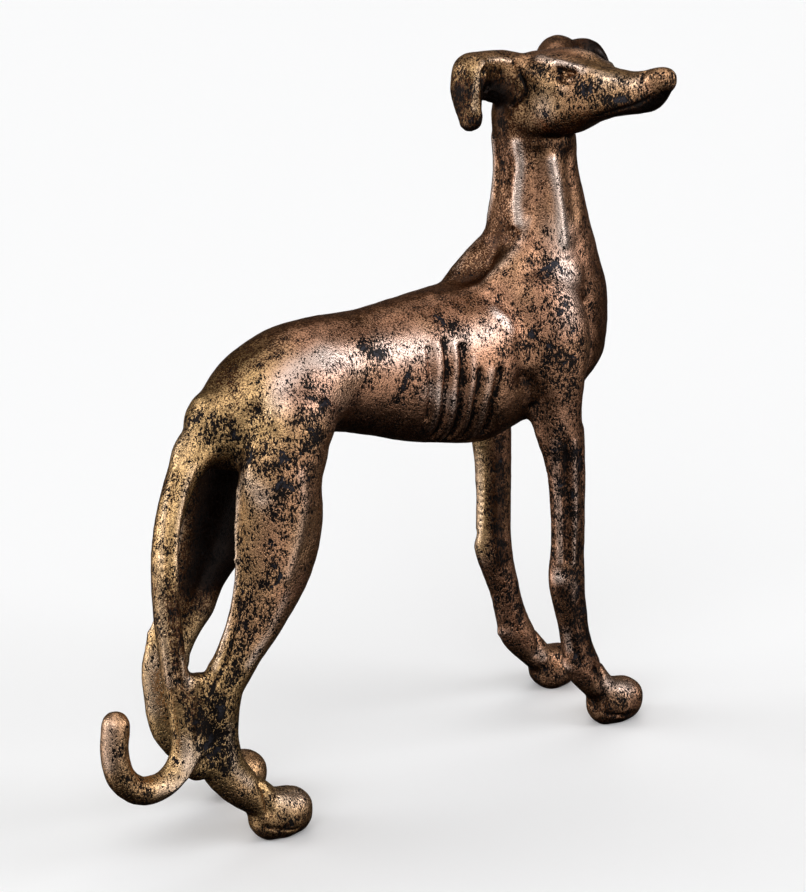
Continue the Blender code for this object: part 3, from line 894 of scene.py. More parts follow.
    def axes(self) -> Array:
        """Turn the head about the upright, raise its muzzle, then lean it over.

        Returns:
            Its forward, left and up directions on the dog, as rows.
        """
        turn, lift, tilt = (math.radians(angle) for angle in (self.turn, self.lift, self.tilt))
        flat = np.array([math.cos(turn), math.sin(turn), 0.0])
        level = np.array([-math.sin(turn), math.cos(turn), 0.0])
        forward = flat * math.cos(lift) + np.array(UPWARD) * math.sin(lift)
        left = level * math.cos(tilt) + np.cross(forward, level) * math.sin(tilt)
        return np.stack([forward, left, np.cross(forward, left)])

    def placed(self, points: Array | Rows) -> Array:
        """Place points of the head's own frame on the dog."""
        return np.asarray(points, float) @ self.axes() + np.array(self.centre)

    def skins(self) -> list[tuple[Array, list[tuple[int, ...]]]]:
        """Shape the skull and the ears.

        Returns:
            The points, placed on the dog, and the faces of each.
        """
        lofts = [profile_loft(self.skull, rings=90, around=64, power=2.45, domes=(0.5, 0.7))]
        for side, ear in zip(Side, (self.right_ear, self.left_ear)):
            lofts.append(Loft(on_side(ear, side), side=(-side.value, 0.0, 0.0), rings=60, around=44))
        return [(self.placed(points), faces) for points, faces in (loft.skin() for loft in lofts)]

    def strokes(self) -> Strokes:
        """Carve the face and the ears.

        Returns:
            The strokes, placed on the dog.
        """
        strokes = paired(*self.face) + single(*self.crown)
        strokes += paired(*self.muzzle_and_ears) + single(*self.nose)
        return tuple(replace(stroke, path=tuple(map(tuple, self.placed(stroke.path)))) for stroke in strokes)


class Grain:
    """Seeded smooth noise between -1 and 1, from random values on a cubic lattice.

    Each point takes the eight values of its cell, weighted by 3t^2 - 2t^3 along each axis.
    """

    def __init__(self, seed: int, count: int = 32) -> None:
        """Draw the lattice.

        Args:
            seed: Number that fixes the lattice.
            count: Values along each axis before it repeats.
        """
        self.count = count
        self.values = np.random.default_rng(seed).uniform(-1.0, 1.0, (count, count, count))

    def at(self, points: Array, size: float) -> Array:
        """Read the noise.

        Args:
            points: Where it is read.
            size: The lattice's spacing.

        Returns:
            One value for each point.
        """
        cell = points / size
        low = np.floor(cell).astype(int)
        t = cell - low
        t = t * t * (3.0 - 2.0 * t)
        total = np.zeros(len(points))
        for corner in np.ndindex(2, 2, 2):
            index = (low + corner) % self.count
            weight = np.prod(np.where(corner, t, 1.0 - t), axis=1)
            total += weight * self.values[index[:, 0], index[:, 1], index[:, 2]]
        return total


@dataclass(frozen=True)
class WearAndPaintedLight:
    """Where the antique finish differs and where shade and highlights are painted, as strokes whose depth is
    its strength.

    Attributes:
        flecked: Dense black flecks, or fewer at a negative strength.
        golden: Metal rubbed to a golden colour.
        dark_film_and_shade: A smooth dark brown film, and painted shade in recesses, under the jaw and on
            faces turned from the lights.
        rubbed_and_highlit: Metal rubbed bare and bright, and painted highlights where the lights shine.
        under: Slopes between which undersides darken as painted shade, and how much.
        inward: x of the thighs' front, the heights from which their inner sides darken as painted
        shade, are dark, clear up and are clear, how far round that reaches, and how much.
        darkest: Upper end of the film and painted shade.
        rib_groove: Share of the ribs' depth that counts as steepness.
        ridge: How bright a ridge is rubbed for its steepness, which also paints highlights along the ridges.
    """

    flecked: Strokes = paired(
        (12, 1, (-138, 8, 208), (-130, 13, 204)),
        (6, 1.1, (-115, 13, 229)),
        (11, 0.9, (-128, 20, 190), (-122, 28, 194)),
        (9, 1.2, (-100, 28, 221), (-92, 31, 215), (-98, 34, 206)),
        (10, 0.8, (-104, 37, 200)),
        (16, 0.8, (-114, 38, 182), (-120, 37, 160), (-128, 34, 142)),
        (7, 1.1, (-60, 20, 235), (-50, 23, 229)),
        (6, 1.3, (-11, 21, 238), (-5, 24, 235)),
        (5, 1.2, (-58, 21, 234), (-53, 22, 232)),
        (7, 0.9, (-36, 27, 220), (-38, 28, 208)),
        (11, 0.9, (50, 20, 262), (56, 27, 250), (50, 33, 240)),
        (10, 0.9, (34, 29, 226), (44, 34, 218)),
        (14, 0.6, (60, 40, 220), (58, 38, 200)),
        (12, 1, (62, 34, 160), (66, 33, 100)),
        (12, 1, (68, 33, 80), (80, 33, 46)),
        (7, 1.1, (-136, 33, 128), (-141, 33, 108), (-147, 33, 96)),
        (8, 0.7, (50, 33, 176), (54, 34, 160)),
        (6, 1, (52, 23, 333)),
        (6, 0.8, (53, 15, 313), (66, 19, 310)),
        (7, 0.7, (52, 16, 350), (53, 22, 347)),
        (6, 1.2, (61, 43, 347), (62, 50, 343)),
        (9, 0.7, (64, 58, 345), (66, 72, 344)),
        (9, 0.5, (18, 6, 345), (17, 6, 334)),
        (12, 0.6, (-118, 26, 14)),
        (14, 0.6, (100, 28, 12)),
        (13, -1, (55, 14, 320), (55, 17, 285)),
        (16, -1, (-125, 0, 228), (-100, 0, 242), (-60, 0, 246), (0, 0, 249)),
        (14, -1, (40, 0, 272), (24, 0, 252)),
        (14, -0.8, (105, 0, 235), (105, 0, 205)),
    ) + single(
        (3.5, -1, (55, 27, 168), (57, 28.5, 100)),
        (11, 2, (-157, -31, 76), (-150, -31, 54)),
    )
    golden: Strokes = paired(
        (34, 0.9, (-125, 8, 218)),
        (12, -0.7, (-106, 26, 222), (-96, 26, 226), (-84, 24, 232)),
        (45, 0.8, (-165, 12, 150)),
        (40, 0.8, (-175, 24, 60)),
        (40, 0.6, (-140, 24, 70)),
        (30, 0.7, (-116, 24, 20)),
        (34, 0.8, (75, 60, 345)),
        (22, 0.6, (18, 5, 345)),
        (20, 0.25, (58, 18, 290)),
        (20, 0.6, (50, 22, 335)),
        (22, 0.5, (100, 28, 16)),
    ) + single(
        (6, 1, (55, 27, 168), (56, 27, 92)),
        (24, 0.8, (-155, 22, 80), (-156, 22, 60)),
    )
    # Dark brown film on legs, paws, muzzle, ears, neck, back and tail, and painted shade in the withers
    # hollow, the armpit, the eye socket, under the ear, under the jaw, on the far foreleg's inner side and
    # on the breast turned from the lights.
    dark_film_and_shade: Strokes = paired(
        (12, 0.6, (24, 0, 252), (42, 3, 268)),
        (22, 0.85, (104, 16, 245), (102, 16, 205)),
        (7, 0.7, (50, 13, 318), (60, 18, 316), (72, 17, 312)),
        (9, 0.9, (62, 30, 160), (65, 30, 100)),
        (9, 1, (66, 30, 84), (80, 30, 44)),
        (20, 0.9, (112, 5, 352)),
        (14, 0.5, (66, 60, 342), (68, 74, 342)),
        (10, 0.9, (90, 33, 13), (100, 36, 6), (108, 31, 7)),
        (14, 0.3, (56, 34, 228), (60, 38, 205)),
        (10, 0.5, (-124, 30, 10), (-110, 30, 9)),
        (12, 0.25, (52, 14, 315), (54, 17, 285)),
        (9, 0.8, (36, 31, 201), (44, 30, 192)),
        (14, 0.9, (40, 6, 338)),
        (8, 0.8, (28, 8, 342)),
        (11, 0.65, (18, 6, 346), (17, 6, 330)),
        (9, 0.4, (42, 0, 318), (42, 0, 288)),
        (11, 0.45, (88, 9, 305), (94, 13, 278)),
        (17, 0.4, (-120, 0, 230), (-60, 0, 248), (0, 0, 252)),
        (7, 1.3, (74, 82, 342), (72, 66, 335)),
    ) + single(
        (4, 0.5, (57.4, -30, 351), (58.2, -35, 349.5)),
        (1.8, 1.2, (56.5, -26, 354), (57, -30, 354), (58, -33, 353.4)),
        (1.6, 1.2, (56, -29.5, 351.5), (55.8, -29, 349)),
        (9, 0.3, (-174, -14, 140), (-176, -20, 120), (-174, -26, 98)),
        (5, 0.7, (64, 23, 156), (64, 23, 108), (67, 22, 84)),
        (3.5, -0.9, (55, 27, 168), (57, 28.5, 100)),
        (6, 0.9, (-169, -20, 132), (-169, -23, 112), (-167, -27, 90), (-165, -29, 72)),
    )
    # Metal rubbed bare on high places, and painted highlights stroked where the lights shine on haunch,
    # flank, shoulder, neck cords, legs, paws and tail.
    rubbed_and_highlit: Strokes = paired(
        (6, 0.8, (-112, 24, 217), (-108, 22, 226), (-101, 22, 231), (-93, 23, 234), (-85, 24, 234)),
        (7.5, 0.7, (-80, 23, 234), (-66, 24, 230)),
        (8, 0.75, (-48, 23, 231), (-40, 24, 229), (-27, 25, 229)),
        (6, 0.6, (-10, 27, 229), (4, 29, 230), (14, 29, 231)),
        (3, 0.8, (20, 25, 239), (25, 28, 231)),
        (8, 0.55, (64, 22, 272), (66, 25, 256), (62, 31, 244), (58, 35, 232)),
        (2.3, 0.85, *NAPE_CORD),
        (2.3, 0.85, *SIDE_CORD),
        (5, 0.7, (-130, 24, 186), (-128, 33, 177)),
        (5, 0.6, (-24, 27, 208), (-12, 29, 200)),
        (5, 0.9, (93, 35, 26), (99, 36, 24), (106, 35, 20)),
        (2.2, 0.5, (66.5, 36, 88), (67, 34, 80)),
        (2, 0.7, (66, 31, 62), (68, 31, 50)),
        (6, 0.8, (-116, 31, 22), (-108, 30, 20)),
        (4, 0.4, (66, 71, 353), (62, 50, 350)),
        (1.6, 1, (-131, 21, 180), (-134, 22, 160), (-138, 24, 140), (-146, 26, 112)),
        (3, 0.8, (56, 33, 97), (58, 33, 93)),
        (6, 0.6, (50, 23, 330), (51, 22, 336)),
        (2.4, 0.9, (-118, 40, 128), (-128, 38, 110), (-138, 34, 98)),
    ) + single(
        (3, 0.8, (92, 20, 25), (96, 20, 22)),
        (2.4, 0.6, (55, 27, 168), (56.4, 28, 130), (57.3, 28.7, 100), (60, 27, 84)),
        (5.5, 0.8, (-154, 20, 87), (-157, 19, 76), (-157, 19, 62)),
        (2.6, 0.9, (-168, -26, 106), (-167, -28, 94)),
        (3.4, 0.9, (-172, -30, 67), (-171, -31, 56)),
        (2.6, 0.8, (-148, -32, 68), (-144.6, -31, 45), (-136, -30.5, 35)),
        (3, 0.2, (-173, -10, 150), (-176, -18, 124), (-175, -23, 98)),
        (4, 0.6, (-210, -27, 84), (-212, -28, 66)),
        (4, 0.6, (-166, -30, 62), (-174, -31, 50), (-186, -31, 46)),
    )
    # Painted shade: undersides and the thighs' inner sides are darkened in the colour.
    under: Row = (-0.15, -0.75, 0.9)
    inward: Row = (-60.0, 95.0, 120.0, 185.0, 200.0, 0.1, 1.4)
    darkest: float = 1.4
    rib_groove: float = 0.55
    ridge: float = 1.3

    @staticmethod
    def total(strokes: Strokes, points: Array) -> Array:
        """Add up strokes, between -1 and 2."""
        return np.clip(sum(stroke.depth_at(points) for stroke in strokes), -1.0, 2.0)

    def painted_shade_and_film(self, points: Array, normals: Array) -> Array:
        """Work out painted shade on undersides and the thighs' inner sides, plus the stroked film and shade.

        Args:
            points: Points of the skin.
            normals: Its normals there.

        Returns:
            The darkness of film and painted shade at each point.
        """
        x, y, z = points.T
        front, low, full, fading, top, reach, strength = self.inward
        thigh = (x < front) * ramp(z, low, full) * ramp(z, top, fading)
        inner = np.clip(reach - np.sign(y) * normals[:, 1], 0.0, 1.0) * thigh
        start, end, weight = self.under
        # Painted shade on undersides and inner thighs, added to the stroked dark film and shade.
        film = weight * ramp(normals[:, 2], start, end) + strength * inner + self.total(self.dark_film_and_shade, points)
        return np.clip(film, 0.0, self.darkest)


@dataclass
class Casting:
    """The whole dog as one cast skin.

    Attributes:
        torso: Trunk, breast and neck.
        foreleg: Both forelegs.
        hind_leg: Both hind legs.
        tail: The tail and its web.
        head: Skull and ears.
        wear_and_painted_light: Where the finish differs, and where shade and highlights are painted.
        cell: Grain of the fused skin, before it is halved.
        fill_rounds: How far the corners between forms are filled.
        triangles: Size of the finished mesh.
        lumps: Height of the broad unevenness of the cast skin, and its spacing.
        ripples: Height of the finer unevenness, and its spacing.
        offset: Where the middle between the paws lies in the frame, in metres.
        unit: Metres for one unit.
    """

    torso: Torso = field(default_factory=Torso)
    foreleg: Foreleg = field(default_factory=Foreleg)
    hind_leg: HindLeg = field(default_factory=HindLeg)
    tail: Tail = field(default_factory=Tail)
    head: Head = field(default_factory=Head)
    wear_and_painted_light: WearAndPaintedLight = field(default_factory=WearAndPaintedLight)
    cell: float = 1.6
    fill_rounds: int = 34
    triangles: int = 194000
    lumps: Span = (0.26, 10.0)
    ripples: Span = (0.11, 3.4)
    offset: Array = field(default_factory=lambda: np.zeros(3))
    unit: float = 0.001

    def strokes(self) -> list[Stroke]:
        """Collect the carving of every part of the dog."""
        parts = (self.torso, self.foreleg, self.hind_leg, self.tail, self.head)
        return [stroke for part in parts for stroke in part.strokes()]

    def fused(self) -> bpy.types.Mesh:
        """Fuse all forms into one even skin of small quads.

        Returns:
            The skin, in units.
        """
        lofts = self.torso.lofts() + self.foreleg.lofts() + self.hind_leg.lofts() + self.tail.lofts()
        skins = [loft.skin() for loft in lofts] + self.head.skins()
        points: list[Array] = []
        faces: list[tuple[int, ...]] = []
        start = 0
        for skin_points, skin_faces in skins:
            points.append(skin_points)
            faces += [tuple(index + start for index in face) for face in skin_faces]
            start += len(skin_points)
        mesh = bpy.data.meshes.new("forms")
        mesh.from_pydata(np.concatenate(points).tolist(), [], faces)
        return evaluated(mesh, "REMESH", mode="VOXEL", voxel_size=self.cell)

    def build(self, low: Vector, high: Vector) -> bpy.types.Object:
        """Make the casting and lay it in the solid's box.

        Args:
            low: Lowest corner of the solid's box, in metres.
            high: Its highest corner.

        Returns:
            The finished piece, at the origin, unturned and unscaled.
        """
        mesh = self.fused()
        fill_corners(mesh, self.fill_rounds)
        LOG.info("fused skin: %d faces", len(mesh.polygons))
        mesh = evaluated(mesh, "SUBSURF", levels=1, render_levels=1)
        self.press(mesh)
        LOG.info("carved skin: %d faces", len(mesh.polygons))
        ratio = self.triangles / (2.0 * len(mesh.polygons))
        mesh = evaluated(mesh, "DECIMATE", ratio=ratio, use_collapse_triangulate=True)
        self.mark(mesh)
        self.lay(mesh, np.array(low), np.array(high))
        mesh.shade_smooth()
        mesh.name = "cast_skin"
        piece = bpy.data.objects.new("cast_greyhound", mesh)
        bpy.context.scene.collection.objects.link(piece)
        return piece

    def press(self, mesh: bpy.types.Mesh) -> None:
        """Press the carving and the unevenness of the casting into the skin.

        Each vertex sinks along its normal by the sum of all depths, but not under the floor.

        Args:
            mesh: The skin, in units.
        """
        points, normals = read(mesh, "co"), read(mesh, "normal")
        depth = self.torso.ribs.depth_at(points)
        for stroke in self.strokes():
            depth += stroke.depth_at(points)
        for seed, (height, size) in enumerate((self.lumps, self.ripples)):
            depth += height * Grain(seed).at(points, size)
        points -= depth[:, None] * normals
        points[:, 2] = np.maximum(points[:, 2], 0.0)
        write(mesh, points)

    def mark(self, mesh: bpy.types.Mesh) -> None:
        """Store on each vertex how the finish differs there.

        groove is the steepness of the hollows, rubbed_and_highlit takes in the carving's ridges and holds
        the painted highlights, and painted_shade_and_film holds painted shade and dark film.

        Args:
            mesh: The skin, in units.
        """
        points, normals, wear_and_painted_light = read(mesh, "co"), read(mesh, "normal"), self.wear_and_painted_light
        carved = wear_and_painted_light.rib_groove * self.torso.ribs.depth_at(points)
        for stroke in self.strokes():
            carved += stroke.sharpness_at(points)
        # Rubbed ridges and stroked places, which also paint the highlights.
        rubbed = wear_and_painted_light.total(wear_and_painted_light.rubbed_and_highlit, points) - wear_and_painted_light.ridge * np.minimum(carved, 0.0)
        marks = {
            "groove": np.maximum(carved, 0.0),
            "painted_shade_and_film": wear_and_painted_light.painted_shade_and_film(points, normals),
            "flecked": wear_and_painted_light.total(wear_and_painted_light.flecked, points),
            "golden": wear_and_painted_light.total(wear_and_painted_light.golden, points),
            "rubbed_and_highlit": np.clip(rubbed, 0.0, 1.0),
        }
        for name, values in marks.items():
            layer = mesh.attributes.new(name, "FLOAT", "POINT")
            layer.data.foreach_set("value", values.astype(np.float32))

    def lay(self, mesh: bpy.types.Mesh, low: Array, high: Array) -> None:
        """Turn units into metres and centre the skin in the solid's box, within its size.

        Args:
            mesh: The skin, in units.
            low: Lowest corner of the solid's box.
            high: Its highest corner.
        """
        points = read(mesh, "co")
        least, most = points.min(axis=0), points.max(axis=0)
        self.unit = float(((high - low) / (most - least)).min())
        middle = 0.5 * (low + high) - 0.5 * (least + most) * self.unit
        self.offset = np.array([middle[0], middle[1], low[2] - least[2] * self.unit])
        write(mesh, points * self.unit + self.offset)

    def world(self, place: Sequence[float]) -> Vector:
        """Turn a place that is counted in units from between the paws into the frame's metres."""
        return Vector(np.array(place) * self.unit + self.offset)


def evaluated(mesh: bpy.types.Mesh, kind: str, **settings: object) -> bpy.types.Mesh:
    """Run one modifier over a mesh.

    Args:
        mesh: The mesh, which is removed.
        kind: The modifier's type.
        settings: Values of the modifier.

    Returns:
        The mesh that the modifier makes.
    """
    holder = bpy.data.objects.new("holder", mesh)
    bpy.context.scene.collection.objects.link(holder)
    modifier = holder.modifiers.new(kind, kind)
    for name, value in settings.items():
        setattr(modifier, name, value)
    depsgraph = bpy.context.evaluated_depsgraph_get()
    result = bpy.data.meshes.new_from_object(holder.evaluated_get(depsgraph))
    bpy.data.objects.remove(holder, do_unlink=True)
    bpy.data.meshes.remove(mesh)
    return result


def read(mesh: bpy.types.Mesh, what: str) -> Array:
    """Read a value of each vertex.

    Args:
        mesh: The mesh.
        what: "co" for the places or "normal" for the normals.

    Returns:
        Rows of three.
    """
    values = np.empty(len(mesh.vertices) * 3, np.float32)
    if what == "normal":
        mesh.vertex_normals.foreach_get("vector", values)
    else:
        mesh.vertices.foreach_get(what, values)
    return values.reshape(-1, 3).astype(float)


def write(mesh: bpy.types.Mesh, points: Array) -> None:
    """Put each vertex in its new place."""
    mesh.vertices.foreach_set("co", points.astype(np.float32).ravel())
    mesh.update()


def fill_corners(mesh: bpy.types.Mesh, rounds: int) -> None:
    """Let hollow corners flow outward, so that forms join as they do in a casting.

    In each round a vertex moves out along its normal by half of how far the mean of its
    neighbours lies outside it.

    Args:
        mesh: The skin.
        rounds: Number of rounds.
    """
    points = read(mesh, "co")
    ends = np.empty(len(mesh.edges) * 2, np.int32)
    mesh.edges.foreach_get("vertices", ends)
    ends = ends.reshape(-1, 2)
    near, far = np.concatenate([ends, ends[:, ::-1]]).T
    count = len(points)
    valence = np.bincount(near, minlength=count)[:, None]
    for _ in range(rounds):
        normals = read(mesh, "normal")
        around = np.stack([np.bincount(near, points[far, k], count) for k in range(3)], axis=1)
        hollow = np.maximum(((around / valence - points) * normals).sum(axis=1), 0.0)
        points += 0.5 * hollow[:, None] * normals
        write(mesh, points)


class Signal:
    """A socket of a node tree, on which sums are written as expressions."""

    def __init__(self, tree: NodeTree, socket: bpy.types.NodeSocket) -> None:
        """Wrap a socket of a tree."""
        self.tree = tree
        self.socket = socket

    def _sum(self, operation: str, first: Signal | float, second: Signal | float) -> Signal:
        """Add one Math node."""
        return self.tree.node("ShaderNodeMath", {"operation": operation}, {0: first, 1: second})

    def __add__(self, other: Signal | float) -> Signal:
        """self + other, either way round."""
        return self._sum("ADD", self, other)

    def __sub__(self, other: Signal | float) -> Signal:
        """self - other."""
        return self._sum("SUBTRACT", self, other)

    def __rsub__(self, other: float) -> Signal:
        """other - self."""
        return self._sum("SUBTRACT", other, self)

    def __mul__(self, other: Signal | float) -> Signal:
        """self * other, either way round."""
        return self._sum("MULTIPLY", self, other)

    __radd__, __rmul__ = __add__, __mul__

    def larger(self, other: Signal | float) -> Signal:
        """Give the larger of the two."""
        return self._sum("MAXIMUM", self, other)

    def step(self, low: Signal | float, high: Signal | float) -> Signal:
        """Rise smoothly from 0 to 1.

        Args:
            low: The value up to which it is 0.
            high: The value from which it is 1.

        Returns:
            3t^2 - 2t^3, where t is the share of the way from low to high.
        """
        settings = {"interpolation_type": "SMOOTHSTEP", "clamp": True}
        inputs = {"Value": self, "From Min": low, "From Max": high}
        return self.tree.node("ShaderNodeMapRange", settings, inputs)

    def held(self) -> Signal:
        """Keep the value between 0 and 1."""
        return self.tree.node("ShaderNodeClamp", {}, {"Value": self})


class NodeTree:
    """A node tree, with one method that adds any node."""

    def __init__(self, tree: bpy.types.NodeTree) -> None:
        """Wrap a tree."""
        self.tree = tree

    def node(
        self,
        kind: str,
        settings: dict[str, object],
        inputs: dict[int | str, object],
        output: int | str = 0,
    ) -> Signal:
        """Add a node, set it up and feed its sockets.

        Args:
            kind: The node's type.
            settings: Values of the node itself, set first.
            inputs: A value or a Signal for each named or numbered socket.
            output: The socket that is given back.

        Returns:
            The output as a Signal.
        """
        node = self.tree.nodes.new(kind)
        for name, value in settings.items():
            setattr(node, name, value)
        for name, value in inputs.items():
            self.feed(node.inputs[name], value)
        return Signal(self, node.outputs[output])

    def feed(self, socket: bpy.types.NodeSocket, value: object) -> None:
        """Link a Signal to a socket, or set its value.

        Args:
            socket: The socket.
            value: A Signal, or what the socket is set to.
        """
        if isinstance(value, Signal):
            self.tree.links.new(value.socket, socket)
        else:
            socket.default_value = value

    def along(self, place: Signal, direction: Row) -> Signal:
        """Give how far a vector reaches along a direction."""
        inputs = {0: place, 1: direction}
        return self.node("ShaderNodeVectorMath", {"operation": "DOT_PRODUCT"}, inputs, "Value")


class Shader(NodeTree):
    """A material's node tree round a Principled BSDF."""

    def __init__(self, name: str) -> None:
        """Start the material.

        Args:
            name: The material's name.
        """
        self.material = bpy.data.materials.new(name)
        self.material.use_nodes = True
        super().__init__(self.material.node_tree)
        self.surface = self.tree.nodes["Principled BSDF"]
        self.place = self.node("ShaderNodeTexCoord", {}, {}, "Object")

    def noise(
        self, size: float, detail: float = 2.0, twist: float = 0.0, place: Signal | None = None
    ) -> Signal:
        """Read fractal noise.

        Args:
            size: Spacing of its largest features, in metres.
            detail: Number of finer layers.
            twist: How much it is distorted.
            place: Where it is read, or None for the object's own coordinates.

        Returns:
            Values round 0.5.
        """
        inputs = {"Vector": place or self.place, "Scale": 1.0 / size, "Detail": detail, "Distortion": twist}
        return self.node("ShaderNodeTexNoise", {}, inputs)

    def stretched(self, scale: Row, turn: Row) -> Signal:
        """Turn and stretch the object's coordinates, in radians and factors."""
        return self.node("ShaderNodeMapping", {}, {"Vector": self.place, "Rotation": turn, "Scale": scale})

    def mark(self, name: str) -> Signal:
        """Read a value that is stored on the skin's vertices."""
        return self.node("ShaderNodeAttribute", {"attribute_name": name}, {}, "Fac")

    def blend(self, factor: Signal, first: Signal | Colour, second: Signal | Colour) -> Signal:
        """Mix two colours.

        Args:
            factor: Share of the second colour.
            first: The first colour.
            second: The second one.

        Returns:
            The mixed colour.
        """
        inputs = {
            FACTOR: factor,
            FIRST_COLOUR: first if isinstance(first, Signal) else (*first, 1.0),
            SECOND_COLOUR: second if isinstance(second, Signal) else (*second, 1.0),
        }
        return self.node("ShaderNodeMix", {"data_type": "RGBA"}, inputs, MIXED)


@dataclass(frozen=True)
class AntiqueBrass:
    """Rubbed brass under a dark patina that stays in every hollow of the rough cast skin, with painted shade
    and painted highlights.

    Attributes:
        copper: Colour of the rubbed metal on most of the body.
        gold: Its colour where it is rubbed most.
        bright: Its colour where it is rubbed bare, and of the painted highlights.
        umber: Brown film in hollows, and painted shade on undersides, inner thighs and shaded places.
        black: Colour of flecks and pits, and of the deepest painted shade.
        slate: Blue-grey bloom on the broad torn patches.
        fleck: Spacing of the flecks, in metres.
        grit: Spacing of the finest pits.
        patch: Spacing of the places where flecks run together.
        cloud: Spacing of places with more flecks and film, and with fewer.
        broad: Spacing of the broad changes of the metal's colour.
        stretch: Factors that draw the flecks out.
        slant: Radians by which they are turned.
        cover: Share of the skin's fine height that lies under the patina.
        torn: Heights of the patch noise at which flecks begin to run together and have done so.
        pitted: Heights of the finest noise that are black pits and that are none.
        film: How much brown film lies everywhere.
        dark_film_and_shade: Darkness at which the film and painted shade begin to turn black and are black.
        roughness: Roughness of the bare metal.
        wax: Weight of the clear wax on the rubbed metal.
        depth: Height of the fine relief.
        edge: Tint of the metal's sheen at a glancing angle.
        coat: How much thicker the clear wax is where the metal is rubbed bare and at the painted highlights.
        coat_roughness: Roughness of the wax.
        coat_ior: Its refractive index, high for a glassy white sheen.
    """

    copper: Colour = (0.51, 0.255, 0.148)
    gold: Colour = (0.58, 0.36, 0.158)
    bright: Colour = (0.71, 0.56, 0.48)
    umber: Colour = (0.056, 0.022, 0.009)
    black: Colour = (0.006, 0.005, 0.005)
    slate: Colour = (0.022, 0.022, 0.028)
    fleck: float = 0.0009
    grit: float = 0.0008
    patch: float = 0.0085
    cloud: float = 0.0065
    broad: float = 0.030
    stretch: Row = (1.0, 1.0, 0.5)
    slant: Row = (0.5, 0.6, 0.2)
    cover: float = 0.405
    torn: Span = (0.69, 0.76)
    pitted: Span = (0.30, 0.38)
    film: float = 0.14
    dark_film_and_shade: Span = (0.95, 1.55)
    roughness: float = 0.27
    wax: float = 0.1
    depth: float = 0.00028
    edge: Colour = (0.62, 0.46, 0.37)
    coat: float = 0.45
    coat_roughness: float = 0.26
    coat_ior: float = 1.6

    def material(self) -> bpy.types.Material:
        """Build the finish.

        The skin's own fine height decides where the patina stays: it is dark wherever the
        height lies under a level that rises in the patches, in hollows and underneath. Painted
        shade darkens the undersides, the thighs' inner sides and shaded places to brown and
        black, and painted highlights lighten the metal where the lights shine. The factors in
        the sums weigh the marks and noises against one another.

        Returns:
            The material.
        """
        shader = Shader("antique brass")
        groove, painted_shade_and_film = shader.mark("groove"), shader.mark("painted_shade_and_film")
        flecked, golden, rubbed_and_highlit = shader.mark("flecked"), shader.mark("golden"), shader.mark("rubbed_and_highlit")
        cloud = shader.noise(self.cloud, 3.0)
        broad = shader.noise(self.broad, 2.0)
        fine = shader.noise(self.fleck, 2.0, 0.6, shader.stretched(self.stretch, self.slant))
        grit = shader.noise(self.grit, 1.0)
        patch_noise = shader.noise(self.patch, 4.0, 0.4)
        hollow = groove.step(0.25, 0.85)
        run = patch_noise.step(*(height - 0.11 * flecked for height in self.torn))
        level = self.cover + 0.09 * flecked + 0.15 * run + 0.16 * hollow + 0.03 * painted_shade_and_film - 0.05 * rubbed_and_highlit
        level = level + 0.6 * (cloud - 0.5)
        dark = 1.0 - fine.step(level - 0.02, level + 0.02)
        specks = 1.0 - grit.step(*(height + 0.05 * flecked for height in self.pitted))
        dark = dark.larger(specks)
        # The brown film: patina everywhere and in hollows, plus painted shade on undersides, inner thighs
        # and the stroked dark places.
        film = self.film + painted_shade_and_film + 0.6 * hollow
        film = film + 0.7 * (broad - 0.5) + 1.4 * (cloud - 0.5) + 4.0 * (grit - 0.5)
        wash = (film - 0.9 * rubbed_and_highlit).held()
        metal = shader.blend((golden + 1.2 * (broad - 0.5)).held(), self.copper, self.gold)
        # Rubbed bare metal, and the painted highlights, take the pale bright colour.
        metal = shader.blend(((0.9 - 0.4 * golden.held()) * rubbed_and_highlit).held(), metal, self.bright)
        washed = shader.blend(wash, metal, self.umber)
        # Painted shade: the darkest undersides, inner thighs and stroked places turn black.
        washed = shader.blend(painted_shade_and_film.step(*self.dark_film_and_shade), washed, self.black)
        patina = shader.blend((run * cloud.step(0.4, 0.6)).held(), self.black, self.slate)
        height = fine.step(level - 0.10, level + 0.08) + 0.9 * grit + 0.5 * fine - 0.3 * run
        bump = shader.node("ShaderNodeBump", {}, {"Strength": 1.0, "Distance": self.depth, "Height": height})
        surface = shader.surface.inputs
        shader.feed(surface["Base Color"], shader.blend(dark, washed, patina))
        shader.feed(surface["Metallic"], 1.0 - 0.15 * dark)
        shader.feed(surface["Roughness"], self.roughness + 0.14 * dark + 0.08 * wash - 0.04 * rubbed_and_highlit)
        shader.feed(surface["Normal"], bump)
        shader.feed(surface["Specular Tint"], (*self.edge, 1.0))
        shader.feed(surface["Coat Weight"], (1.0 - 0.8 * dark) * (self.wax + self.coat * rubbed_and_highlit))
        shader.feed(surface["Coat Roughness"], self.coat_roughness)
        shader.feed(surface["Coat IOR"], self.coat_ior)
        return shader.material


def towards(azimuth: float, elevation: float, yaw: float) -> Vector:
    """Work out the direction from the dog to a light.

    Args:
        azimuth: Degrees to the right of the camera, seen from the dog.
        elevation: Degrees above the floor.
        yaw: Degrees that the camera's view turns from the dog's left to its head.

    Returns:
        The direction, one long.
    """
    turn = math.radians(azimuth - yaw - 90.0)
    rise = math.radians(elevation)
    return Vector((math.cos(turn) * math.cos(rise), math.sin(turn) * math.cos(rise), math.sin(rise)))


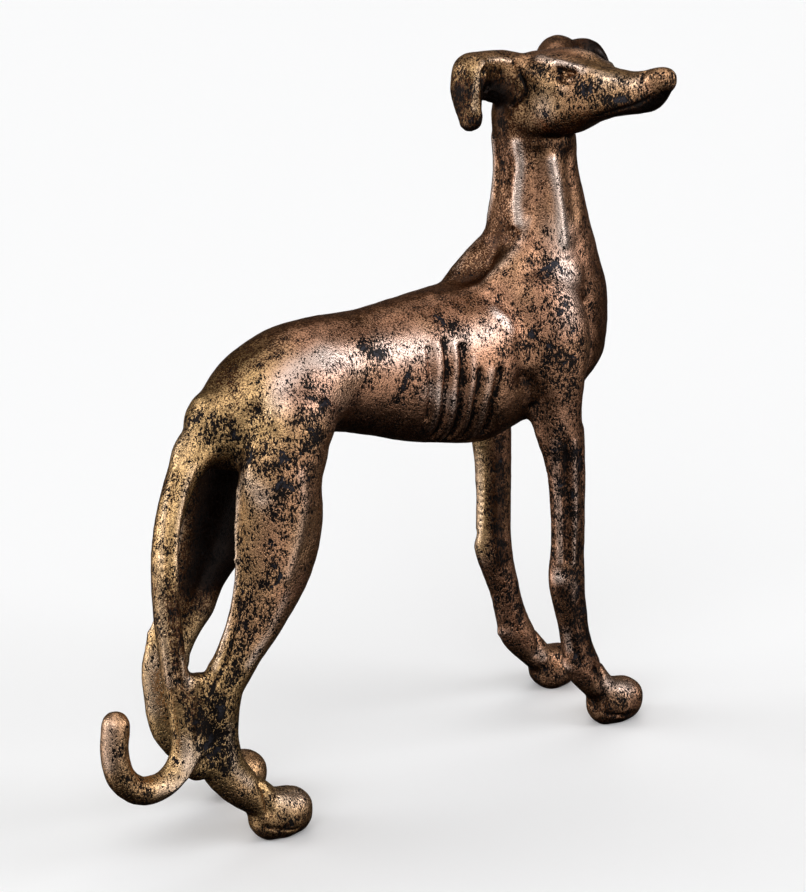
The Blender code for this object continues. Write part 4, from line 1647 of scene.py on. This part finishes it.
@dataclass(frozen=True)
class SoftLight:
    """A large soft light, far enough away to light the whole floor evenly.

    Attributes:
        name: Its name.
        azimuth: Degrees to the right of the camera, seen from the dog.
        elevation: Degrees above the floor.
        spread: Width of the light in degrees.
        brightness: How bright its face looks, with 1 for a white wall.
        colour: Its colour.
    """

    name: str
    azimuth: float
    elevation: float
    spread: float
    brightness: float
    colour: Colour = (1.0, 1.0, 1.0)

    def build(self, yaw: float) -> None:
        """Hang the light.

        Its strength is brightness * pi * sin(spread / 2)^2.

        Args:
            yaw: Degrees that the camera's view turns from the dog's left to its head.
        """
        data = bpy.data.lights.new(self.name, "SUN")
        data.angle = math.radians(self.spread)
        data.energy = self.brightness * math.pi * math.sin(0.5 * data.angle) ** 2
        data.color = self.colour
        light = bpy.data.objects.new(self.name, data)
        direction = towards(self.azimuth, self.elevation, yaw)
        light.rotation_euler = direction.to_track_quat("Z", "Y").to_euler()
        bpy.context.scene.collection.objects.link(light)


@dataclass(frozen=True)
class Studio:
    """The pale floor, the soft light and the camera.

    Attributes:
        lights: The soft lights.
        floor: Colour of the floor.
        air: Brightness of the white room, which lights the floor.
        ceiling: Brightness of the room's upper half where the metal mirrors it.
        wall: Share of that brightness on the side away from the camera.
        screens: Low pale screens for the metal to mirror, as azimuth, elevation, spread and brightness.
        ground: Brightness of its lower half there: the metal is shown as over a dark table.
        sky: Brightness of the room where it is seen past the floor.
        reach: Radius of the floor, in metres.
        rim: Number of points round it.
        matt: Roughness of the floor.
        horizon: Reach upward, and away from the camera, between which the mirrored halves fade.
        yaw: Degrees that the camera's view turns from the dog's left to its head.
        pitch: Degrees that the camera looks down.
        camera: The camera's distance to the right of, behind and above the origin, in units.
        sensor: Long side of the camera's frame, in millimetres.
        lens: Its focal length.
    """

    lights: tuple[SoftLight, ...] = (
        SoftLight("left", -86.0, 22.0, 40.0, 3.3, (0.94, 0.97, 1.0)),
        SoftLight("front", -12.0, 36.0, 46.0, 1.8, (0.94, 0.97, 1.0)),
        SoftLight("right", 82.0, 24.0, 40.0, 3.3, (0.94, 0.96, 1.0)),
        SoftLight("back", 178.0, 60.0, 40.0, 1.0),
    )
    floor: Colour = (0.92, 0.91, 0.90)
    air: float = 0.52
    ceiling: float = 0.60
    wall: float = 0.22
    screens: Rows = (
        (-96.0, -8.0, 72.0, 1.4),
        (-66.0, -34.0, 60.0, 0.9),
        (62.0, -8.0, 76.0, 1.0),
        (30.0, 78.0, 90.0, 1.1),
    )
    ground: float = 0.03
    sky: float = 0.95
    reach: float = 200.0
    rim: int = 96
    matt: float = 0.9
    horizon: Span = (-0.8, 0.3)
    yaw: float = 39.0
    pitch: float = 18.0
    camera: Row = (-14.2, -1186.0, 553.0)
    sensor: float = 36.0
    lens: float = 100.9

    def build(self, casting: Casting) -> None:
        """Set up floor, lights, room and camera round the casting.

        Args:
            casting: The dog, which gives the place of its own origin.
        """
        self._floor()
        for light in self.lights:
            light.build(self.yaw)
        self._room()
        bpy.context.scene.view_settings.view_transform = "Standard"
        self._camera(casting)

    def _floor(self) -> None:
        """Lay a plain round floor, mark it as stage and keep it out of the metal's mirror."""
        angle = np.linspace(0.0, 2.0 * math.pi, self.rim, endpoint=False)
        points = np.stack([np.cos(angle), np.sin(angle), np.zeros(self.rim)], axis=1) * self.reach
        mesh = bpy.data.meshes.new("floor")
        mesh.from_pydata(points.tolist(), [], [tuple(range(self.rim))])
        shader = Shader("pale floor")
        shader.feed(shader.surface.inputs["Base Color"], (*self.floor, 1.0))
        shader.feed(shader.surface.inputs["Roughness"], self.matt)
        mesh.materials.append(shader.material)
        floor = bpy.data.objects.new("floor", mesh)
        floor.visible_glossy = False
        bpy.context.scene.collection.objects.link(floor)
        floor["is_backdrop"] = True

    def _room(self) -> None:
        """Fill the room with white air, which the metal mirrors as a ceiling over dark ground.

        What it mirrors is (ground to ceiling by height) * (1 to wall away from the camera),
        and the screens, which fade from their middle to their edge.
        """
        world = bpy.data.worlds.new("room")
        world.use_nodes = True
        room = NodeTree(world.node_tree)
        place = room.node("ShaderNodeTexCoord", {}, {}, "Generated")
        yaw = math.radians(self.yaw)
        height = room.along(place, UPWARD).step(*self.horizon)
        away = room.along(place, (math.sin(yaw), math.cos(yaw), 0.0)).step(*self.horizon)
        shown = (self.ground + (self.ceiling - self.ground) * height) * (1.0 - (1.0 - self.wall) * away)
        for azimuth, elevation, spread, brightness in self.screens:
            middle = towards(azimuth, elevation, self.yaw)
            rim = math.cos(math.radians(0.5 * spread))
            shown = shown + brightness * room.along(place, middle).step(rim, 1.0)
        mirrored = room.node("ShaderNodeLightPath", {}, {}, "Is Glossy Ray")
        seen = room.node("ShaderNodeLightPath", {}, {}, "Is Camera Ray")
        strength = self.air * (1.0 - mirrored) + mirrored * shown + (self.sky - self.air) * seen
        background = world.node_tree.nodes["Background"]
        background.inputs["Color"].default_value = (1.0, 1.0, 1.0, 1.0)
        room.feed(background.inputs["Strength"], strength)
        bpy.context.scene.world = world

    def _camera(self, casting: Casting) -> None:
        """Stand the camera where the photograph was taken from.

        Args:
            casting: The dog, which gives the place of its own origin.
        """
        yaw, pitch = math.radians(self.yaw), math.radians(self.pitch)
        right = Vector((math.cos(yaw), -math.sin(yaw), 0.0))
        level = Vector((math.sin(yaw), math.cos(yaw), 0.0))
        upright = Vector(UPWARD)
        ahead = level * math.cos(pitch) - upright * math.sin(pitch)
        above = level * math.sin(pitch) + upright * math.cos(pitch)
        data = bpy.data.cameras.new("camera")
        data.sensor_width = self.sensor
        data.lens = self.lens
        camera = bpy.data.objects.new("camera", data)
        across, deep, high = self.camera
        place = casting.world(right * across + level * deep + upright * high)
        turn = Matrix((right, above, -ahead)).transposed().to_4x4()
        camera.matrix_world = Matrix.Translation(place) @ turn
        bpy.context.scene.collection.objects.link(camera)
        bpy.context.scene.camera = camera


def main() -> None:
    """Load the frame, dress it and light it."""
    logging.basicConfig(level=logging.INFO, format="%(name)s: %(message)s")
    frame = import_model()
    low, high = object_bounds()
    LOG.info("solid: %s, %.0f x %.0f x %.0f mm", sorted(frame["nodes"]), *((high - low) * 1000.0))
    casting = Casting()
    piece = casting.build(low, high)
    piece.data.materials.clear()
    piece.data.materials.append(AntiqueBrass().material())
    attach(piece, BODY)
    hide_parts(NODE)
    LOG.info("%s: %d triangles", piece.name, len(piece.data.polygons))
    Studio().build(casting)


if __name__ == "__main__":
    main()
